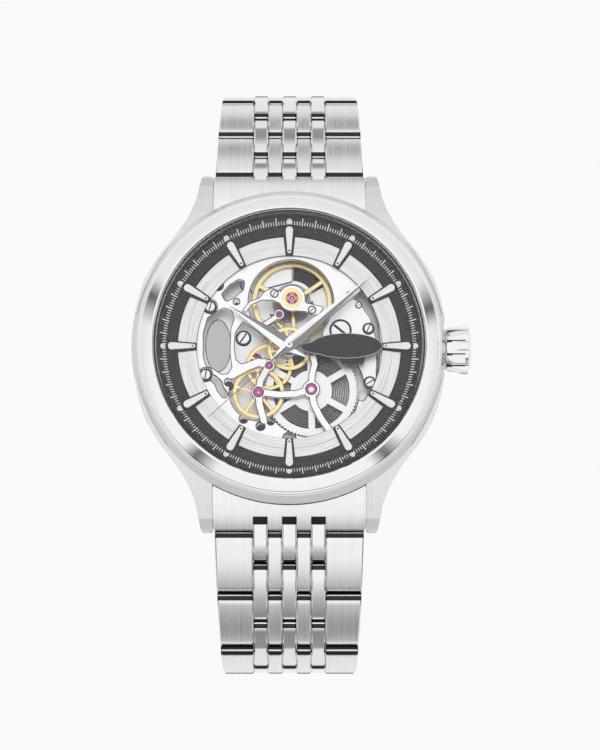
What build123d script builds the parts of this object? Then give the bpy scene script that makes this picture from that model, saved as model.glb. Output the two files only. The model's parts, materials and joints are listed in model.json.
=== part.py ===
from build123d import *
import os
from math import cos, sin, pi, radians, degrees, atan2, hypot

os.makedirs("parts", exist_ok=True)

# Skeleton wristwatch, millimetres. +Z out of the dial, +Y to 12 o'clock, +X to the crown.
# The closed bracelet's clasp lies on z = 0; the head is drawn from its own back plane and lifted.

# ---- case ----
head_lift = 33.32         # height of the caseback's outer face above the clasp's resting face
case_radius = 20.5
case_back_z = 1.5
case_shoulder_z = 6.7
case_top_z = 8.1
case_top_radius = 19.8
movement_bore = 15.2
dial_bore = 17.3
lug_half_gap = 10.0       # half of the 20 mm gap between the lugs
lug_pivot_y = 22.45
lug_pivot_z = 0.65
spring_bar_radius = 0.6
bezel_outer = 19.6
bezel_inner = 17.65
bezel_top_z = 9.6
crystal_radius = 17.6
crystal_z = (9.12, 10.3)
caseback_radius = 17.4
crown_axis_z = 3.9
crown_x = (20.15, 23.6)

# ---- dial parts ----
dial_inner = 12.05
dial_step = 13.35
dial_outer = 14.5
flange_flat = 15.8
flange_outer = 17.2
baton_r = (12.2, 15.75)
baton_w = (0.5, 0.95)

# ---- movement: axes seen from the dial ----
barrel_at = (2.84, -5.48)
second_at = (-4.01, -5.87)
third_at = (-2.63, -2.36)
escape_at = (-2.16, 2.35)
fork_at = (-1.32, 4.35)
balance_at = (0.35, 6.40)
plate_z = (5.2, 5.85)     # the skeletonised front plate
back_z = (1.65, 2.2)      # the plate behind the wheels
teeth = {"barrel": 80, "second_pinion": 10, "second": 75, "third_pinion": 8,
         "third": 64, "fourth_pinion": 10, "fourth": 70, "escape_pinion": 7}

# ---- hands ----
hour_angle = 303.6        # clockwise from 12, as the watch is shown
minute_angle = 49.4
second_angle = 227.7

# ---- bracelet ----
pitch = 9.0
half_pitch = 4.5
first_reach = 3.15        # lug bar to the first link pin
link_gap = 0.1
link_radius = 1.3         # half the link's thickness; its ends are full rounds
pin_radius = 0.45
wide_widths = [4.97, 4.72, 4.35, 3.95, 3.60, 3.35]
polished_width = 1.83
brushed_width = 1.86
row_gap = 0.05
slopes_12 = [42, 43, 45, 50, 62, 78, 102, 129, 149, 162, 172]
slopes_6 = [33, 34, 40, 48, 57, 78, 94, 114, 138, 160, 172]


# ---- helpers ----
def tube(x, y, r, z0, z1, hole=0.0):
    body = Pos(x, y, (z0 + z1) / 2) * Cylinder(r, z1 - z0)
    if hole > 0:
        body -= Pos(x, y, (z0 + z1) / 2) * Cylinder(hole, z1 - z0 + 1)
    return body


def flat(points, z0, z1, soft=0.0):
    face = make_face(Polyline(*points, close=True))
    if soft > 0:
        face = fillet(face.vertices(), soft)
    return extrude(Pos(0, 0, z0) * face, z1 - z0)


def turned(points):
    face = make_face(Polyline(*[(r, 0, z) for r, z in points], close=True))
    return revolve(face, Axis.Z)


def across(points, x0, x1):
    # a (y, z) outline drawn out along X
    face = make_face(Polyline(*[(x0, y, z) for y, z in points], close=True))
    return extrude(face, amount=x1 - x0, dir=(1, 0, 0))


def rod_x(x0, x1, y, z, r):
    return Pos((x0 + x1) / 2, y, z) * Rot(0, 90, 0) * Cylinder(r, x1 - x0)


def clock(r, deg, aside=0.0):
    # a point at radius r, deg clockwise from 12, stepped aside to the right of the spoke
    a = radians(deg)
    return (r * sin(a) + aside * cos(a), r * cos(a) - aside * sin(a))


def save(name, *solids, lift=True):
    parts = []
    for item in solids:
        parts += list(item.solids())
    if lift:
        parts = [Pos(0, 0, head_lift) * p for p in parts]
    export_step(Compound(parts, label=name), "parts/" + name + ".step")


def gear_outline(count, radius, phase, top=0.32, root=0.62, add=0.62, ded=0.85):
    # straight-flanked teeth: top and root are shares of one pitch, add and ded of the module
    module = 2 * radius / count
    step = 2 * pi / count
    points = []
    for i in range(count):
        mid = phase + i * step
        for share, r in ((-root / 2, radius - ded * module), (-top / 2, radius + add * module),
                         (top / 2, radius + add * module), (root / 2, radius - ded * module)):
            points.append((r * cos(mid + share * step), r * sin(mid + share * step)))
    return points


def gear(at, count, radius, phase, z0, z1, rim=0.0, hub=0.0, spokes=0, spoke=0.3, turn=0.0, **form):
    face = make_face(Polyline(*gear_outline(count, radius, phase, **form), close=True))
    if spokes:
        face -= Circle(rim)
        face += Circle(hub)
        for i in range(spokes):
            bar = Rectangle(rim - hub + 0.5, spoke)
            face += Rot(0, 0, turn + i * 360 / spokes) * Pos((rim + hub) / 2, 0, 0) * bar
    return Pos(at[0], at[1], z0) * extrude(face, z1 - z0)


def mesh_phase(at_1, count_1, phase_1, at_2, count_2):
    # the angle that puts a tooth gap of the second gear against a tooth of the first
    line = atan2(at_2[1] - at_1[1], at_2[0] - at_1[0])
    share = (line - phase_1) / (2 * pi / count_1)
    return line + pi - (0.5 - share) * 2 * pi / count_2


def pair_radii(at_1, at_2, count_1, count_2):
    span = hypot(at_2[0] - at_1[0], at_2[1] - at_1[1])
    return span * count_1 / (count_1 + count_2), span * count_2 / (count_1 + count_2)


# ---- case body with lugs ----
case = turned([(movement_bore, case_back_z), (case_radius - 0.5, case_back_z),
               (case_radius, case_back_z + 0.6), (case_radius, case_shoulder_z),
               (case_top_radius, case_top_z), (dial_bore, case_top_z),
               (dial_bore, 5.93), (movement_bore, 5.93)])
side = [(4.2, 20.10), (5.7, 19.80), (7.3, 19.36), (8.9, 18.78), (10.4, 17.93), (12.0, 16.95),
        (13.6, 15.70), (15.2, 14.55), (16.7, 13.60), (18.3, 12.80), (19.8, 12.25), (21.2, 11.95),
        (22.4, 11.72), (23.3, 11.50)]
lug_plan = [(lug_half_gap, 11.0), (lug_half_gap, 23.3), (10.35, 23.65), (11.15, 23.65)]
lug_plan += [(x, y) for y, x in reversed(side)]
lug_plan += [(17.0, 4.2)]
lug_side = [(4.0, 7.1), (9.0, 7.05), (12.5, 6.75), (15.5, 6.0), (18.0, 4.95), (20.2, 3.75),
            (22.0, 2.55), (23.3, 1.45), (23.75, 0.5), (23.5, -0.4), (22.8, -0.95), (21.8, -1.0),
            (20.6, -0.35), (19.0, 0.75), (17.0, 1.5), (4.0, 1.5)]
lug = flat(lug_plan, -1.5, 8.0) & across(lug_side, 5.0, 22.0)
lug -= tube(0, 0, case_radius - 1.2, -2, 9)
for width in (0.45, 0.3, 0.15):
    try:
        lug = chamfer(lug.edges().filter_by(
            lambda e: e.center().Z > 1.2 and e.center().X > 11.0 and e.center().Y > 13.5
            and abs(e.tangent_at(0.5).Z) < 0.85 and e.length > 0.5), width)
        break
    except Exception:
        continue
lugs = [lug, mirror(lug, Plane.YZ), mirror(lug, Plane.XZ), mirror(mirror(lug, Plane.YZ), Plane.XZ)]
for piece in lugs:
    case += piece
for way in (1, -1):
    case -= rod_x(-11.2, 11.2, way * lug_pivot_y, lug_pivot_z, spring_bar_radius + 0.02)
case -= rod_x(12.0, 25.0, 0, crown_axis_z, 1.5)
case -= Pos(20.9, 0, crown_axis_z) * Box(1.7, 7.0, 7.0)
case -= tube(0, 0, movement_bore, 0, 5.93)
save("case_body", case)

# ---- bezel, crystal, back ----
bezel = turned([(17.32, case_top_z + 0.02), (bezel_outer, case_top_z + 0.02), (bezel_outer, 8.42),
                (19.38, 8.52), (19.38, 8.62), (18.0, bezel_top_z), (17.8, bezel_top_z),
                (bezel_inner, 9.45), (bezel_inner, 8.95), (17.32, 8.95)])
save("bezel", bezel)
crystal = turned([(0, crystal_z[0]), (crystal_radius - 0.05, crystal_z[0]),
                  (crystal_radius, crystal_z[0] + 0.05), (crystal_radius, crystal_z[1] - 0.25),
                  (crystal_radius - 0.25, crystal_z[1]), (0, crystal_z[1])])
save("crystal", crystal)
back = turned([(12.6, 0), (16.6, 0), (caseback_radius, 0.7), (caseback_radius, case_back_z - 0.02),
               (15.15, case_back_z - 0.02), (15.15, 1.63), (14.2, 1.63), (14.2, 1.3),
               (13.1, 1.3), (13.1, 0.4), (12.6, 0.4)])
for i in range(6):
    x, y = clock(15.9, 30 + i * 60)
    back -= Pos(x, y, 0.1) * Rot(0, 0, -30 - i * 60) * Box(2.4, 0.9, 0.6)
save("caseback", back)
save("caseback_crystal", tube(0, 0, 13.05, 0.43, 1.27))
crystal_gasket = tube(0, 0, 17.6, 8.96, 9.11, hole=17.34)
crown_gasket = Rot(0, 90, 0) * Torus(0.95, 0.2)
save("case_gaskets", crystal_gasket, Pos(20.05, 0, crown_axis_z) * crown_gasket)

# ---- dial flange, silver ring, applied batons, plaque ----
flange = turned([(12.0, 5.95), (flange_outer, 5.95), (flange_outer, 8.85), (17.08, 8.85),
                 (17.02, 7.35), (flange_flat, 6.5), (14.6, 6.5), (14.6, 6.12), (12.0, 6.12)])
silver = turned([(dial_inner, 6.14), (dial_outer, 6.14), (dial_outer, 6.28), (dial_step, 6.28),
                 (dial_step - 0.06, 6.40), (dial_inner, 6.40)])
batons = []
for i in range(12):
    deg = i * 30
    inner = 12.02
    tongue = [clock(inner, deg, -0.48), clock(inner, deg, 0.48),
              clock(14.9, deg, 0.78), clock(14.9, deg, -0.78)]
    slot = [clock(inner - 0.5, deg, -0.54), clock(inner - 0.5, deg, 0.54),
            clock(15.0, deg, 0.86), clock(15.0, deg, -0.86)]
    flange += flat(tongue, 6.0, 6.5)
    silver -= flat(slot, 6.0, 7.0)
    w0, w1 = baton_w[0] / 2, baton_w[1] / 2
    outline = [clock(baton_r[0], deg, -w0), clock(baton_r[0], deg, w0),
               clock(15.3, deg, w1), clock(15.6, deg, 0.7 * w1), clock(baton_r[1], deg, 0.3 * w1),
               clock(baton_r[1], deg, -0.3 * w1), clock(15.6, deg, -0.7 * w1),
               clock(15.3, deg, -w1)]
    baton = flat(outline, 6.52, 7.15)
    try:
        baton = chamfer(baton.edges().group_by(Axis.Z)[-1], 0.13)
    except Exception:
        pass
    x, y = clock(12.55, deg)
    baton -= tube(x, y, 0.12, 7.0, 7.3)
    batons.append(baton)
save("chapter_ring", flange)
save("dial_ring", silver)
save("hour_markers", *batons)

blade = Pos(7.4, 0, 6.85) * extrude(Ellipse(4.7, 1.66), 0.32)
neck = flat([(1.55, 0.2), (1.45, -0.45), (2.2, -0.8), (3.6, -1.1), (4.6, -1.2), (4.6, 1.1),
             (2.9, 0.55)], 6.85, 7.17)
tab = flat([(6.3, -1.2), (9.9, -1.2), (9.6, -2.35), (6.9, -2.35)], 6.55, 6.86)
foot = tube(2.95, -0.75, 0.38, 5.87, 6.86)
save("dial_plaque", blade + neck + tab + foot)


# ---- front plate: one skeletonised sheet with its arms ----
def strip(points, width):
    shape = Pos(*points[0]) * Circle(width / 2)
    for (xa, ya), (xb, yb) in zip(points, points[1:]):
        span = hypot(xb - xa, yb - ya)
        tilt = degrees(atan2(yb - ya, xb - xa))
        shape += Pos((xa + xb) / 2, (ya + yb) / 2) * Rot(0, 0, tilt) * Rectangle(span, width)
        shape += Pos(xb, yb) * Circle(width / 2)
    return shape


def window(points, soft=0.35):
    face = make_face(Polyline(*points, close=True))
    try:
        face = fillet(face.vertices(), soft)
    except Exception:
        pass
    return face


slot_top = [(-8.81, 7.01), (-7.8, 8.2), (-6.58, 8.93), (-5.84, 8.76), (-6.0, 7.6), (-7.0, 6.75),
            (-8.24, 6.0)]
big_left = [(-10.6, 3.9), (-9.1, 4.9), (-8.4, 5.15), (-7.5, 4.8), (-7.2, 3.8), (-7.65, 2.5),
            (-7.75, -0.8), (-7.5, -2.6), (-8.0, -3.45), (-8.8, -3.5), (-9.8, -2.85),
            (-10.8, -2.4), (-11.15, -1.2), (-11.15, 1.9)]
second_left = [(-7.0, 1.9), (-7.15, 0.1), (-6.9, -1.6), (-6.3, -2.15), (-5.4, -1.95),
               (-4.2, -1.5), (-3.3, -1.45), (-2.5, -0.9), (-2.9, 0.4), (-3.3, 1.2), (-4.4, 2.3),
               (-5.2, 3.1), (-6.1, 3.3)]
under_cock = [(-5.0, 4.4), (-4.6, 5.2), (-3.4, 5.75), (-2.0, 5.6), (-1.4, 5.1), (-1.7, 4.4),
              (-2.1, 3.6), (-3.0, 2.9), (-4.1, 3.6)]
upper_gap = [(-2.0, 3.0), (-0.9, 4.3), (0.1, 4.9), (1.6, 4.6), (2.8, 4.1), (3.2, 3.2),
             (2.4, 2.6), (1.9, 1.4), (-1.1, 1.5)]
right_cut = [(2.2, 0.6), (2.4, 2.1), (3.6, 3.4), (4.9, 4.2), (6.2, 5.6), (7.6, 7.3), (9.2, 7.6),
             (10.6, 5.6), (11.55, 3.0), (11.85, 0), (11.55, -3.0), (10.9, -4.9), (9.6, -7.1),
             (8.0, -6.5), (3.0, -1.2)]
kidney = strip([(-9.85, -4.1), (-9.2, -4.7), (-9.0, -5.4), (-8.4, -6.2)], 0.87)
plate = Circle(15.0)
plate -= Pos(0.2, 6.0) * Circle(5.55)
for points in (slot_top, big_left, second_left, under_cock, upper_gap, right_cut):
    plate -= window(points)
plate -= kidney
plate -= Pos(*second_at) * Circle(3.78)
plate -= Pos(*barrel_at) * Circle(6.3) & Circle(11.95)
plate -= Circle(3.35)
for x, y, r in ((-6.88, 6.04, 0.41), (-7.91, -4.6, 0.5), (-5.94, -9.4, 0.56),
                (-3.73, -10.35, 0.56), (-2.4, -9.75, 0.45), (0, -12.0, 0.85)):
    plate -= Pos(x, y) * Circle(r)
plate += strip([second_at, (-1.4, -6.2), (0.9, -6.1), barrel_at], 0.95)
plate += strip([second_at, (-3.75, -4.3), third_at], 0.95)
plate += strip([third_at, (-4.0, -1.95), (-5.6, -2.6), (-7.4, -3.6)], 1.15)
plate += strip([second_at, (-3.85, -7.6), (-3.3, -9.6)], 1.0)
plate += strip([barrel_at, (2.95, -3.6), (3.3, -2.2), (3.0, -0.8)], 0.9)
plate += strip([barrel_at, (3.2, -7.5), (4.1, -9.3), (5.3, -11.0), (5.6, -12.3)], 0.95)
plate += strip([(0, 0), (-2.3, 1.53), (-4.6, 3.06), (-6.3, 4.2)], 1.2)
plate += strip([(0, 0), (3.2, 2.74), (4.9, 4.2), (6.6, 5.66), (8.4, 7.2), (9.6, 8.2)], 0.9)
plate += strip([(3.0, -0.8), (1.6, -0.2), (0, 0)], 0.8)
for (x, y), r in ((barrel_at, 1.15), (second_at, 0.95), (third_at, 0.8), (escape_at, 0.62),
                  (fork_at, 0.7), ((0, 0), 1.35)):
    plate += Pos(x, y) * Circle(r)
plate += strip([escape_at, (-1.9, 1.5), (-1.2, 0.9)], 0.6)
plate += strip([fork_at, (-2.3, 3.6), (-3.4, 2.9)], 0.75)
jewel_seats = [(barrel_at, 0.70), (second_at, 0.62), (third_at, 0.42), (escape_at, 0.34),
               (fork_at, 0.36), ((0, 0), 0.9)]
for (x, y), r in jewel_seats:
    plate -= Pos(x, y) * Circle(r)
screw_spots = [(-10.3, 5.37, 0.62), (-10.87, -3.58, 0.62), (-6.0, 1.77, 0.0),
               (-9.3, 8.2, 0.4), (9.9, 8.0, 0.4)]
front = extrude(Pos(0, 0, plate_z[0]) * plate, plate_z[1] - plate_z[0])
for x, y, r in screw_spots:
    if r > 0:
        front -= tube(x, y, r + 0.3, plate_z[1] - 0.3, plate_z[1] + 1)
        front -= tube(x, y, 0.3, plate_z[0] - 1, plate_z[1] + 1)
front = max(front.solids(), key=lambda s: s.volume)
save("front_plate", front)

# ---- bridges ----
bx, by = balance_at
cock = Pos(bx, by) * Circle(1.75)
cock += window([(-6.2, 4.7), (-5.2, 6.0), (-4.0, 6.4), (-3.2, 7.35), (-2.2, 7.75), (-1.2, 7.3),
                (bx, by + 1.2), (bx, by - 1.0), (-1.0, 5.6), (-2.2, 6.1), (-3.6, 6.1),
                (-4.9, 5.5), (-5.6, 4.5)], 0.3)
cock += window([(bx, by + 1.2), (1.9, 6.6), (2.2, 5.8), (3.1, 5.6), (4.6, 5.25), (4.3, 4.75),
                (3.8, 4.2), (3.0, 4.1), (2.1, 4.6), (1.2, 4.65), (bx - 0.6, by - 1.5)], 0.25)
cock -= Pos(bx, by) * Circle(1.05)
balance_bridge = Pos(0, 0, 5.87) * extrude(cock, 0.5)
balance_bridge = max(balance_bridge.solids(), key=lambda s: s.volume)
for x, y in ((-1.95, 7.0), (2.95, 4.85)):
    balance_bridge -= tube(x, y, 0.42, 6.12, 6.6)
save("balance_bridge", balance_bridge)

right = window([(4.3, 2.3), (5.6, 4.7), (6.9, 6.1), (8.1, 6.7), (9.3, 6.1), (9.9, 4.9),
                (10.5, 4.1), (10.9, 2.6), (11.3, 1.4), (11.4, -1.8), (11.3, -4.1),
                (10.75, -5.6), (9.95, -5.3), (9.4, -3.3), (8.5, -1.5), (6.2, -0.3),
                (4.3, 0.8)], 0.4)
right_bridge = Pos(0, 0, 4.4) * extrude(right, 0.55)
right_bridge -= tube(9.03, 5.72, 0.33, 4.7, 5.2)
right_bridge -= tube(6.66, 2.4, 1.2, 4.85, 5.2)
post = tube(9.0, 3.2, 0.8, 2.22, 4.4)
post += tube(9.9, -1.0, 0.7, 2.22, 4.4)
save("train_bridge", right_bridge + post)

rear = Circle(15.1)
rear -= Pos(-9.3, 0.8) * Ellipse(1.6, 3.4)
rear -= Pos(-4.3, 9.4) * Rot(0, 0, 25) * Ellipse(2.2, 1.0)
rear -= Pos(9.2, 9.4) * Circle(1.3)
rear -= Pos(*balance_at) * Circle(0.4)
rear -= Pos(*barrel_at) * Circle(0.75)
for i in range(6):
    rear -= Pos(*clock(13.4, 15 + i * 60)) * Circle(0.9)
rear_plate = extrude(Pos(0, 0, back_z[0]) * rear, back_z[1] - back_z[0])
spacer = turned([(14.2, 2.18), (15.1, 2.18), (15.1, 5.18), (14.2, 5.18)])
spacer -= rod_x(10.0, 16.0, 0, crown_axis_z, 1.15)
rear_plate += spacer
shelf = flat([(-3.6, 11.4), (-5.4, 9.9), (-4.9, 7.9), (0.3, 9.3), (0.3, 11.9), (-1.5, 11.9)],
             2.18, 2.65)
rear_plate += shelf
save("back_plate", rear_plate)

# ---- going train: barrel > second > third > fourth > escape ----
barrel_r, second_pinion_r = pair_radii(barrel_at, second_at, teeth["barrel"], teeth["second_pinion"])
second_r, third_pinion_r = pair_radii(second_at, third_at, teeth["second"], teeth["third_pinion"])
third_r, fourth_pinion_r = pair_radii(third_at, (0, 0), teeth["third"], teeth["fourth_pinion"])
fourth_r, escape_pinion_r = pair_radii((0, 0), escape_at, teeth["fourth"], teeth["escape_pinion"])
barrel_phase = 0.0
second_pinion_phase = mesh_phase(barrel_at, teeth["barrel"], barrel_phase,
                                 second_at, teeth["second_pinion"])
second_phase = second_pinion_phase
third_pinion_phase = mesh_phase(second_at, teeth["second"], second_phase,
                                third_at, teeth["third_pinion"])
third_phase = third_pinion_phase
fourth_pinion_phase = mesh_phase(third_at, teeth["third"], third_phase,
                                 (0, 0), teeth["fourth_pinion"])
fourth_phase = fourth_pinion_phase
escape_pinion_phase = mesh_phase((0, 0), teeth["fourth"], fourth_phase,
                                 escape_at, teeth["escape_pinion"])
leaf = {"top": 0.26, "root": 0.56, "add": 0.62, "ded": 0.95}

x, y = barrel_at
rim_gear = gear(barrel_at, teeth["barrel"], barrel_r, barrel_phase, 4.0, 4.28,
                rim=4.95, hub=2.75, spokes=6, spoke=0.95, turn=31)
drum = tube(x, y, 5.45, 2.45, 4.02, hole=5.15) + tube(x, y, 5.45, 2.3, 2.62)
arbor = tube(x, y, 1.0, 2.6, 4.35) + tube(x, y, 0.35, 1.72, 5.62)
save("barrel", rim_gear + drum + arbor)
coil = []
for i in range(9):
    r = 2.55 + i * 0.29
    coil.append(tube(x, y, r + 0.11, 2.75, 3.85, hole=r - 0.02))
save("mainspring", *coil)

x, y = second_at
second_wheel = gear(second_at, teeth["second"], second_r, second_phase, 4.8, 4.96,
                    rim=2.85, hub=0.95, spokes=5, spoke=0.42, turn=20)
second_wheel += gear(second_at, teeth["second_pinion"], second_pinion_r, second_pinion_phase,
                     3.95, 4.4, **leaf)
second_wheel += tube(x, y, 0.4, 3.9, 4.85) + tube(x, y, 0.14, 3.4, 5.55)
save("second_wheel", second_wheel)

x, y = third_at
third_wheel = gear(third_at, teeth["third"], third_r, third_phase, 4.48, 4.62,
                   rim=2.55, hub=0.75, spokes=5, spoke=0.36, turn=8)
third_wheel += gear(third_at, teeth["third_pinion"], third_pinion_r, third_pinion_phase,
                    4.62, 5.05, **leaf)
third_wheel += tube(x, y, 0.11, 4.35, 5.55)
save("third_wheel", third_wheel)

fourth_wheel = gear((0, 0), teeth["fourth"], fourth_r, fourth_phase, 4.76, 4.9,
                    rim=2.35, hub=0.8, spokes=4, spoke=0.4, turn=10)
fourth_wheel += gear((0, 0), teeth["fourth_pinion"], fourth_pinion_r, fourth_pinion_phase,
                     4.42, 4.78, **leaf)
fourth_wheel += tube(0, 0, 0.13, 4.36, 8.22)
save("fourth_wheel", fourth_wheel)

# club-toothed escape wheel
ex, ey = escape_at
escape_r = hypot(fork_at[0] - ex, fork_at[1] - ey) * cos(radians(30))
line = atan2(fork_at[1] - ey, fork_at[0] - ex)
outline = []
for i in range(15):
    base = line + radians(12 + i * 24)
    for share, r in ((-9.5, 0.72), (-3.5, 0.74), (0.0, 1.0), (2.6, 1.0), (2.2, 0.93), (3.2, 0.78)):
        a = base + radians(share)
        outline.append((escape_r * r * cos(a), escape_r * r * sin(a)))
face = make_face(Polyline(*outline, close=True)) - Circle(0.58 * escape_r) + Circle(0.36)
for i in range(4):
    face += Rot(0, 0, i * 90 + 20) * Pos(0.33 * escape_r, 0, 0) * Rectangle(0.62 * escape_r, 0.2)
escape_wheel = Pos(ex, ey, 4.1) * extrude(face, 0.15)
escape_wheel += gear(escape_at, teeth["escape_pinion"], escape_pinion_r, escape_pinion_phase,
                     4.7, 4.98, **leaf)
escape_wheel += tube(ex, ey, 0.12, 3.85, 5.55)
save("escape_wheel", escape_wheel)

# pallet fork: two arms with stones, lever towards the balance
fx, fy = fork_at
stone_reach = escape_r + 0.16
fork = Circle(0.42)
stones = []
for way in (1, -1):
    a = line + way * radians(30)
    tip = (ex + (stone_reach + 0.14) * cos(a) - fx, ey + (stone_reach + 0.14) * sin(a) - fy)
    span = hypot(*tip)
    tilt = degrees(atan2(tip[1], tip[0]))
    fork += Rot(0, 0, tilt) * Pos(span / 2, 0) * Rectangle(span, 0.34)
    stones.append((tip, degrees(a)))
lever_turn = degrees(atan2(by - fy, bx - fx))
lever_span = hypot(bx - fx, by - fy) - 0.72
fork += Rot(0, 0, lever_turn) * Pos(lever_span / 2, 0) * Rectangle(lever_span, 0.22)
fork += Rot(0, 0, lever_turn) * Pos(lever_span - 0.2, 0) * Rectangle(0.4, 0.52)
pallet_fork = Pos(fx, fy, 4.06) * extrude(fork, 0.22)
pallet_fork += tube(fx, fy, 0.1, 3.85, 5.55)
stone_solids = []
for (tx, ty), tilt in stones:
    stone = Pos(fx + tx, fy + ty, 4.38) * Rot(0, 0, tilt) * Box(0.3, 0.26, 0.2)
    stone_solids.append(stone)
save("pallet_fork", pallet_fork, *stone_solids)

# balance, staff, roller and hairspring
face = Circle(5.2) - Circle(4.62) + Circle(0.75)
for i in range(3):
    face += Rot(0, 0, 34 + i * 120) * Pos(2.7, 0) * Rectangle(4.2, 0.52)
balance = Pos(bx, by, 3.2) * extrude(face, 0.4)
balance += tube(bx, by, 0.3, 2.35, 4.9) + tube(bx, by, 0.12, 1.8, 5.95)
balance += tube(bx, by, 0.55, 3.6, 3.8)
save("balance_wheel", balance)
turns, inner, outer = 9, 0.62, 2.6
wire = []
steps = turns * 24
for side in (0.045, -0.045):
    lap = []
    for k in range(steps + 1):
        a = 2 * pi * turns * k / steps
        r = inner + (outer - inner) * k / steps + side
        lap.append((bx + r * cos(a), by + r * sin(a)))
    wire += lap if side > 0 else lap[::-1]
spring = flat(wire, 2.72, 2.95)
stud = tube(bx + 2.62, by, 0.2, 2.22, 3.0)
save("hairspring", spring + stud)

# ---- jewels and screws of the movement ----
jewels = []
for (x, y), r, hole in ((barrel_at, 0.68, 0.38), (second_at, 0.60, 0.16), (third_at, 0.40, 0.13),
                        (escape_at, 0.32, 0.14), (fork_at, 0.34, 0.12)):
    jewels.append(tube(x, y, r, 5.3, 5.8, hole=hole))
jewels.append(tube(bx, by, 0.62, 5.95, 6.35, hole=0.15))
jewels.append(tube(bx, by, 1.03, 5.9, 6.3, hole=0.66))
jewels.append(tube(bx, by, 0.38, 1.7, 2.15, hole=0.14))
jewels.append(tube(*barrel_at, 0.73, 1.7, 2.15, hole=0.38))
jewels.append(tube(-4.36, -1.09, 0.75, 2.22, 3.2))
jewels.append(tube(-4.36, -1.09, 0.43, 3.2, 3.45, hole=0.12))
jewels.append(tube(0, 0, 0.88, 5.2, 5.85, hole=0.47))
save("jewels", *jewels)

screws = []
for x, y, r, z0, z1, shank, turn in (
        (-10.3, 5.37, 0.58, 5.57, 5.95, 5.2, 75), (-10.87, -3.58, 0.58, 5.57, 5.95, 5.2, 80),
        (-1.95, 7.0, 0.4, 6.13, 6.42, 0, 60), (2.95, 4.85, 0.4, 6.13, 6.42, 0, 35),
        (9.03, 5.72, 0.31, 4.71, 5.05, 0, 20), (6.66, 2.4, 1.17, 4.86, 5.02, 0, -40),
        (10.45, -4.5, 0.55, 4.96, 5.45, 0, 30), (10.3, 2.6, 0.5, 4.96, 5.4, 0, 65),
        (-6.0, 1.77, 0.75, 2.22, 2.75, 0, 55), (-9.3, 8.2, 0.37, 5.57, 5.9, 5.2, 10),
        (9.9, 8.0, 0.37, 5.57, 5.9, 5.2, 40)):
    head = tube(x, y, r, z0, z1)
    head -= Pos(x, y, z1) * Rot(0, 0, turn) * Box(2.2 * r, 0.28 * r, 0.24)
    if shank:
        head += tube(x, y, 0.28, shank, z0)
    screws.append(head)
save("movement_screws", *screws)


# ---- hands ----
def lance(angle, reach, tail, width, z0, thick, rise, hub, pipe, pipe_z):
    widest = 1.2
    rim = [(0, -tail), (width / 2, widest - 0.9), (width / 2, widest), (0.05, reach),
           (-0.05, reach), (-width / 2, widest), (-width / 2, widest - 0.9)]
    body = flat(rim, z0, z0 + thick)
    peak = Vector(0, widest - 0.45, z0 + thick + rise)
    ring = [Vector(x, y, z0 + thick - 0.02) for x, y in rim]
    faces = [make_face(Polyline(*ring, close=True))]
    for p, q in zip(ring, ring[1:] + ring[:1]):
        faces.append(make_face(Polyline(p, q, peak, close=True)))
    body += Solid(Shell(faces))
    body += tube(0, 0, hub, z0, z0 + thick + rise)
    body = Rot(0, 0, -angle) * body
    body += tube(0, 0, pipe[1], pipe_z, z0 + 0.02)
    body -= tube(0, 0, pipe[0], pipe_z - 1, z0 + thick + rise + 1)
    return body


save("hour_hand", lance(hour_angle, 9.3, 3.0, 1.8, 7.3, 0.1, 0.2, 1.0, (0.48, 0.78), 5.9))
save("minute_hand", lance(minute_angle, 13.75, 3.2, 1.75, 7.72, 0.1, 0.2, 0.9, (0.2, 0.43), 5.0))
sweep = flat([(-0.16, -4.2), (0.16, -4.2), (0.07, 0), (0.04, 14.1), (-0.04, 14.1), (-0.07, 0)],
             8.22, 8.32)
sweep = Rot(0, 0, -second_angle) * sweep + tube(0, 0, 0.42, 8.2, 8.42)
save("seconds_hand", sweep)

# ---- crown, tube and stem ----
x0, x1 = crown_x
outline = [(x0, 1.5), (x0, 2.55), (x0 + 0.2, 2.7), (x1 - 0.75, 3.22), (x1 - 0.35, 3.1),
           (x1 - 0.05, 2.3), (x1, 2.1), (x1, 0), (21.9, 0), (21.9, 1.5)]
face = make_face(Polyline(*[(x, 0, r) for x, r in outline], close=True))
crown = revolve(face, Axis.X)
for i in range(10):
    groove = Pos(0, 3.62, 0) * Rot(0, 90, 3.5) * Cylinder(0.78, 12)
    crown -= Pos((x0 + x1) / 2 - 0.1, 0, 0) * Rot(i * 36, 0, 0) * groove
crown -= rod_x(21.0, 22.6, 0, 0, 0.7)
save("crown", Pos(0, 0, crown_axis_z) * crown)
save("crown_tube", rod_x(15.5, 21.6, 0, crown_axis_z, 1.45) - rod_x(15, 22, 0, crown_axis_z, 1.2))
stem = rod_x(12.3, 22.55, 0, crown_axis_z, 0.68) - (rod_x(13.6, 14.0, 0, crown_axis_z, 1.0)
                                                    - rod_x(13.5, 14.1, 0, crown_axis_z, 0.5))
save("winding_stem", stem)
save("stem_collar", rod_x(13.65, 13.95, 0, crown_axis_z, 1.0)
     - rod_x(13, 15, 0, crown_axis_z, 0.55))


# ---- bracelet ----
def chain(slopes):
    points = [(lug_pivot_y, lug_pivot_z)]
    for i, slope in enumerate(slopes):
        reach = first_reach if i == 0 else half_pitch
        y, z = points[-1]
        points.append((y + reach * cos(radians(slope)), z - reach * sin(radians(slope))))
    return points


def bar(a, b, ends, x0, x1, radius=link_radius):
    # a round-ended bar between two pins, running on past each pin by the reach in ends
    span = hypot(b[0] - a[0], b[1] - a[1])
    uy, uz = (b[0] - a[0]) / span, (b[1] - a[1]) / span
    start = (a[0] - ends[0] * uy, a[1] - ends[0] * uz)
    long = span + ends[0] + ends[1]
    at = (x0, start[0] + uy * long / 2, start[1] + uz * long / 2)
    where = Plane(origin=at, x_dir=(0, uy, uz), z_dir=(1, 0, 0))
    return extrude(where * SlotCenterToCenter(long, 2 * radius), x1 - x0)


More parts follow.
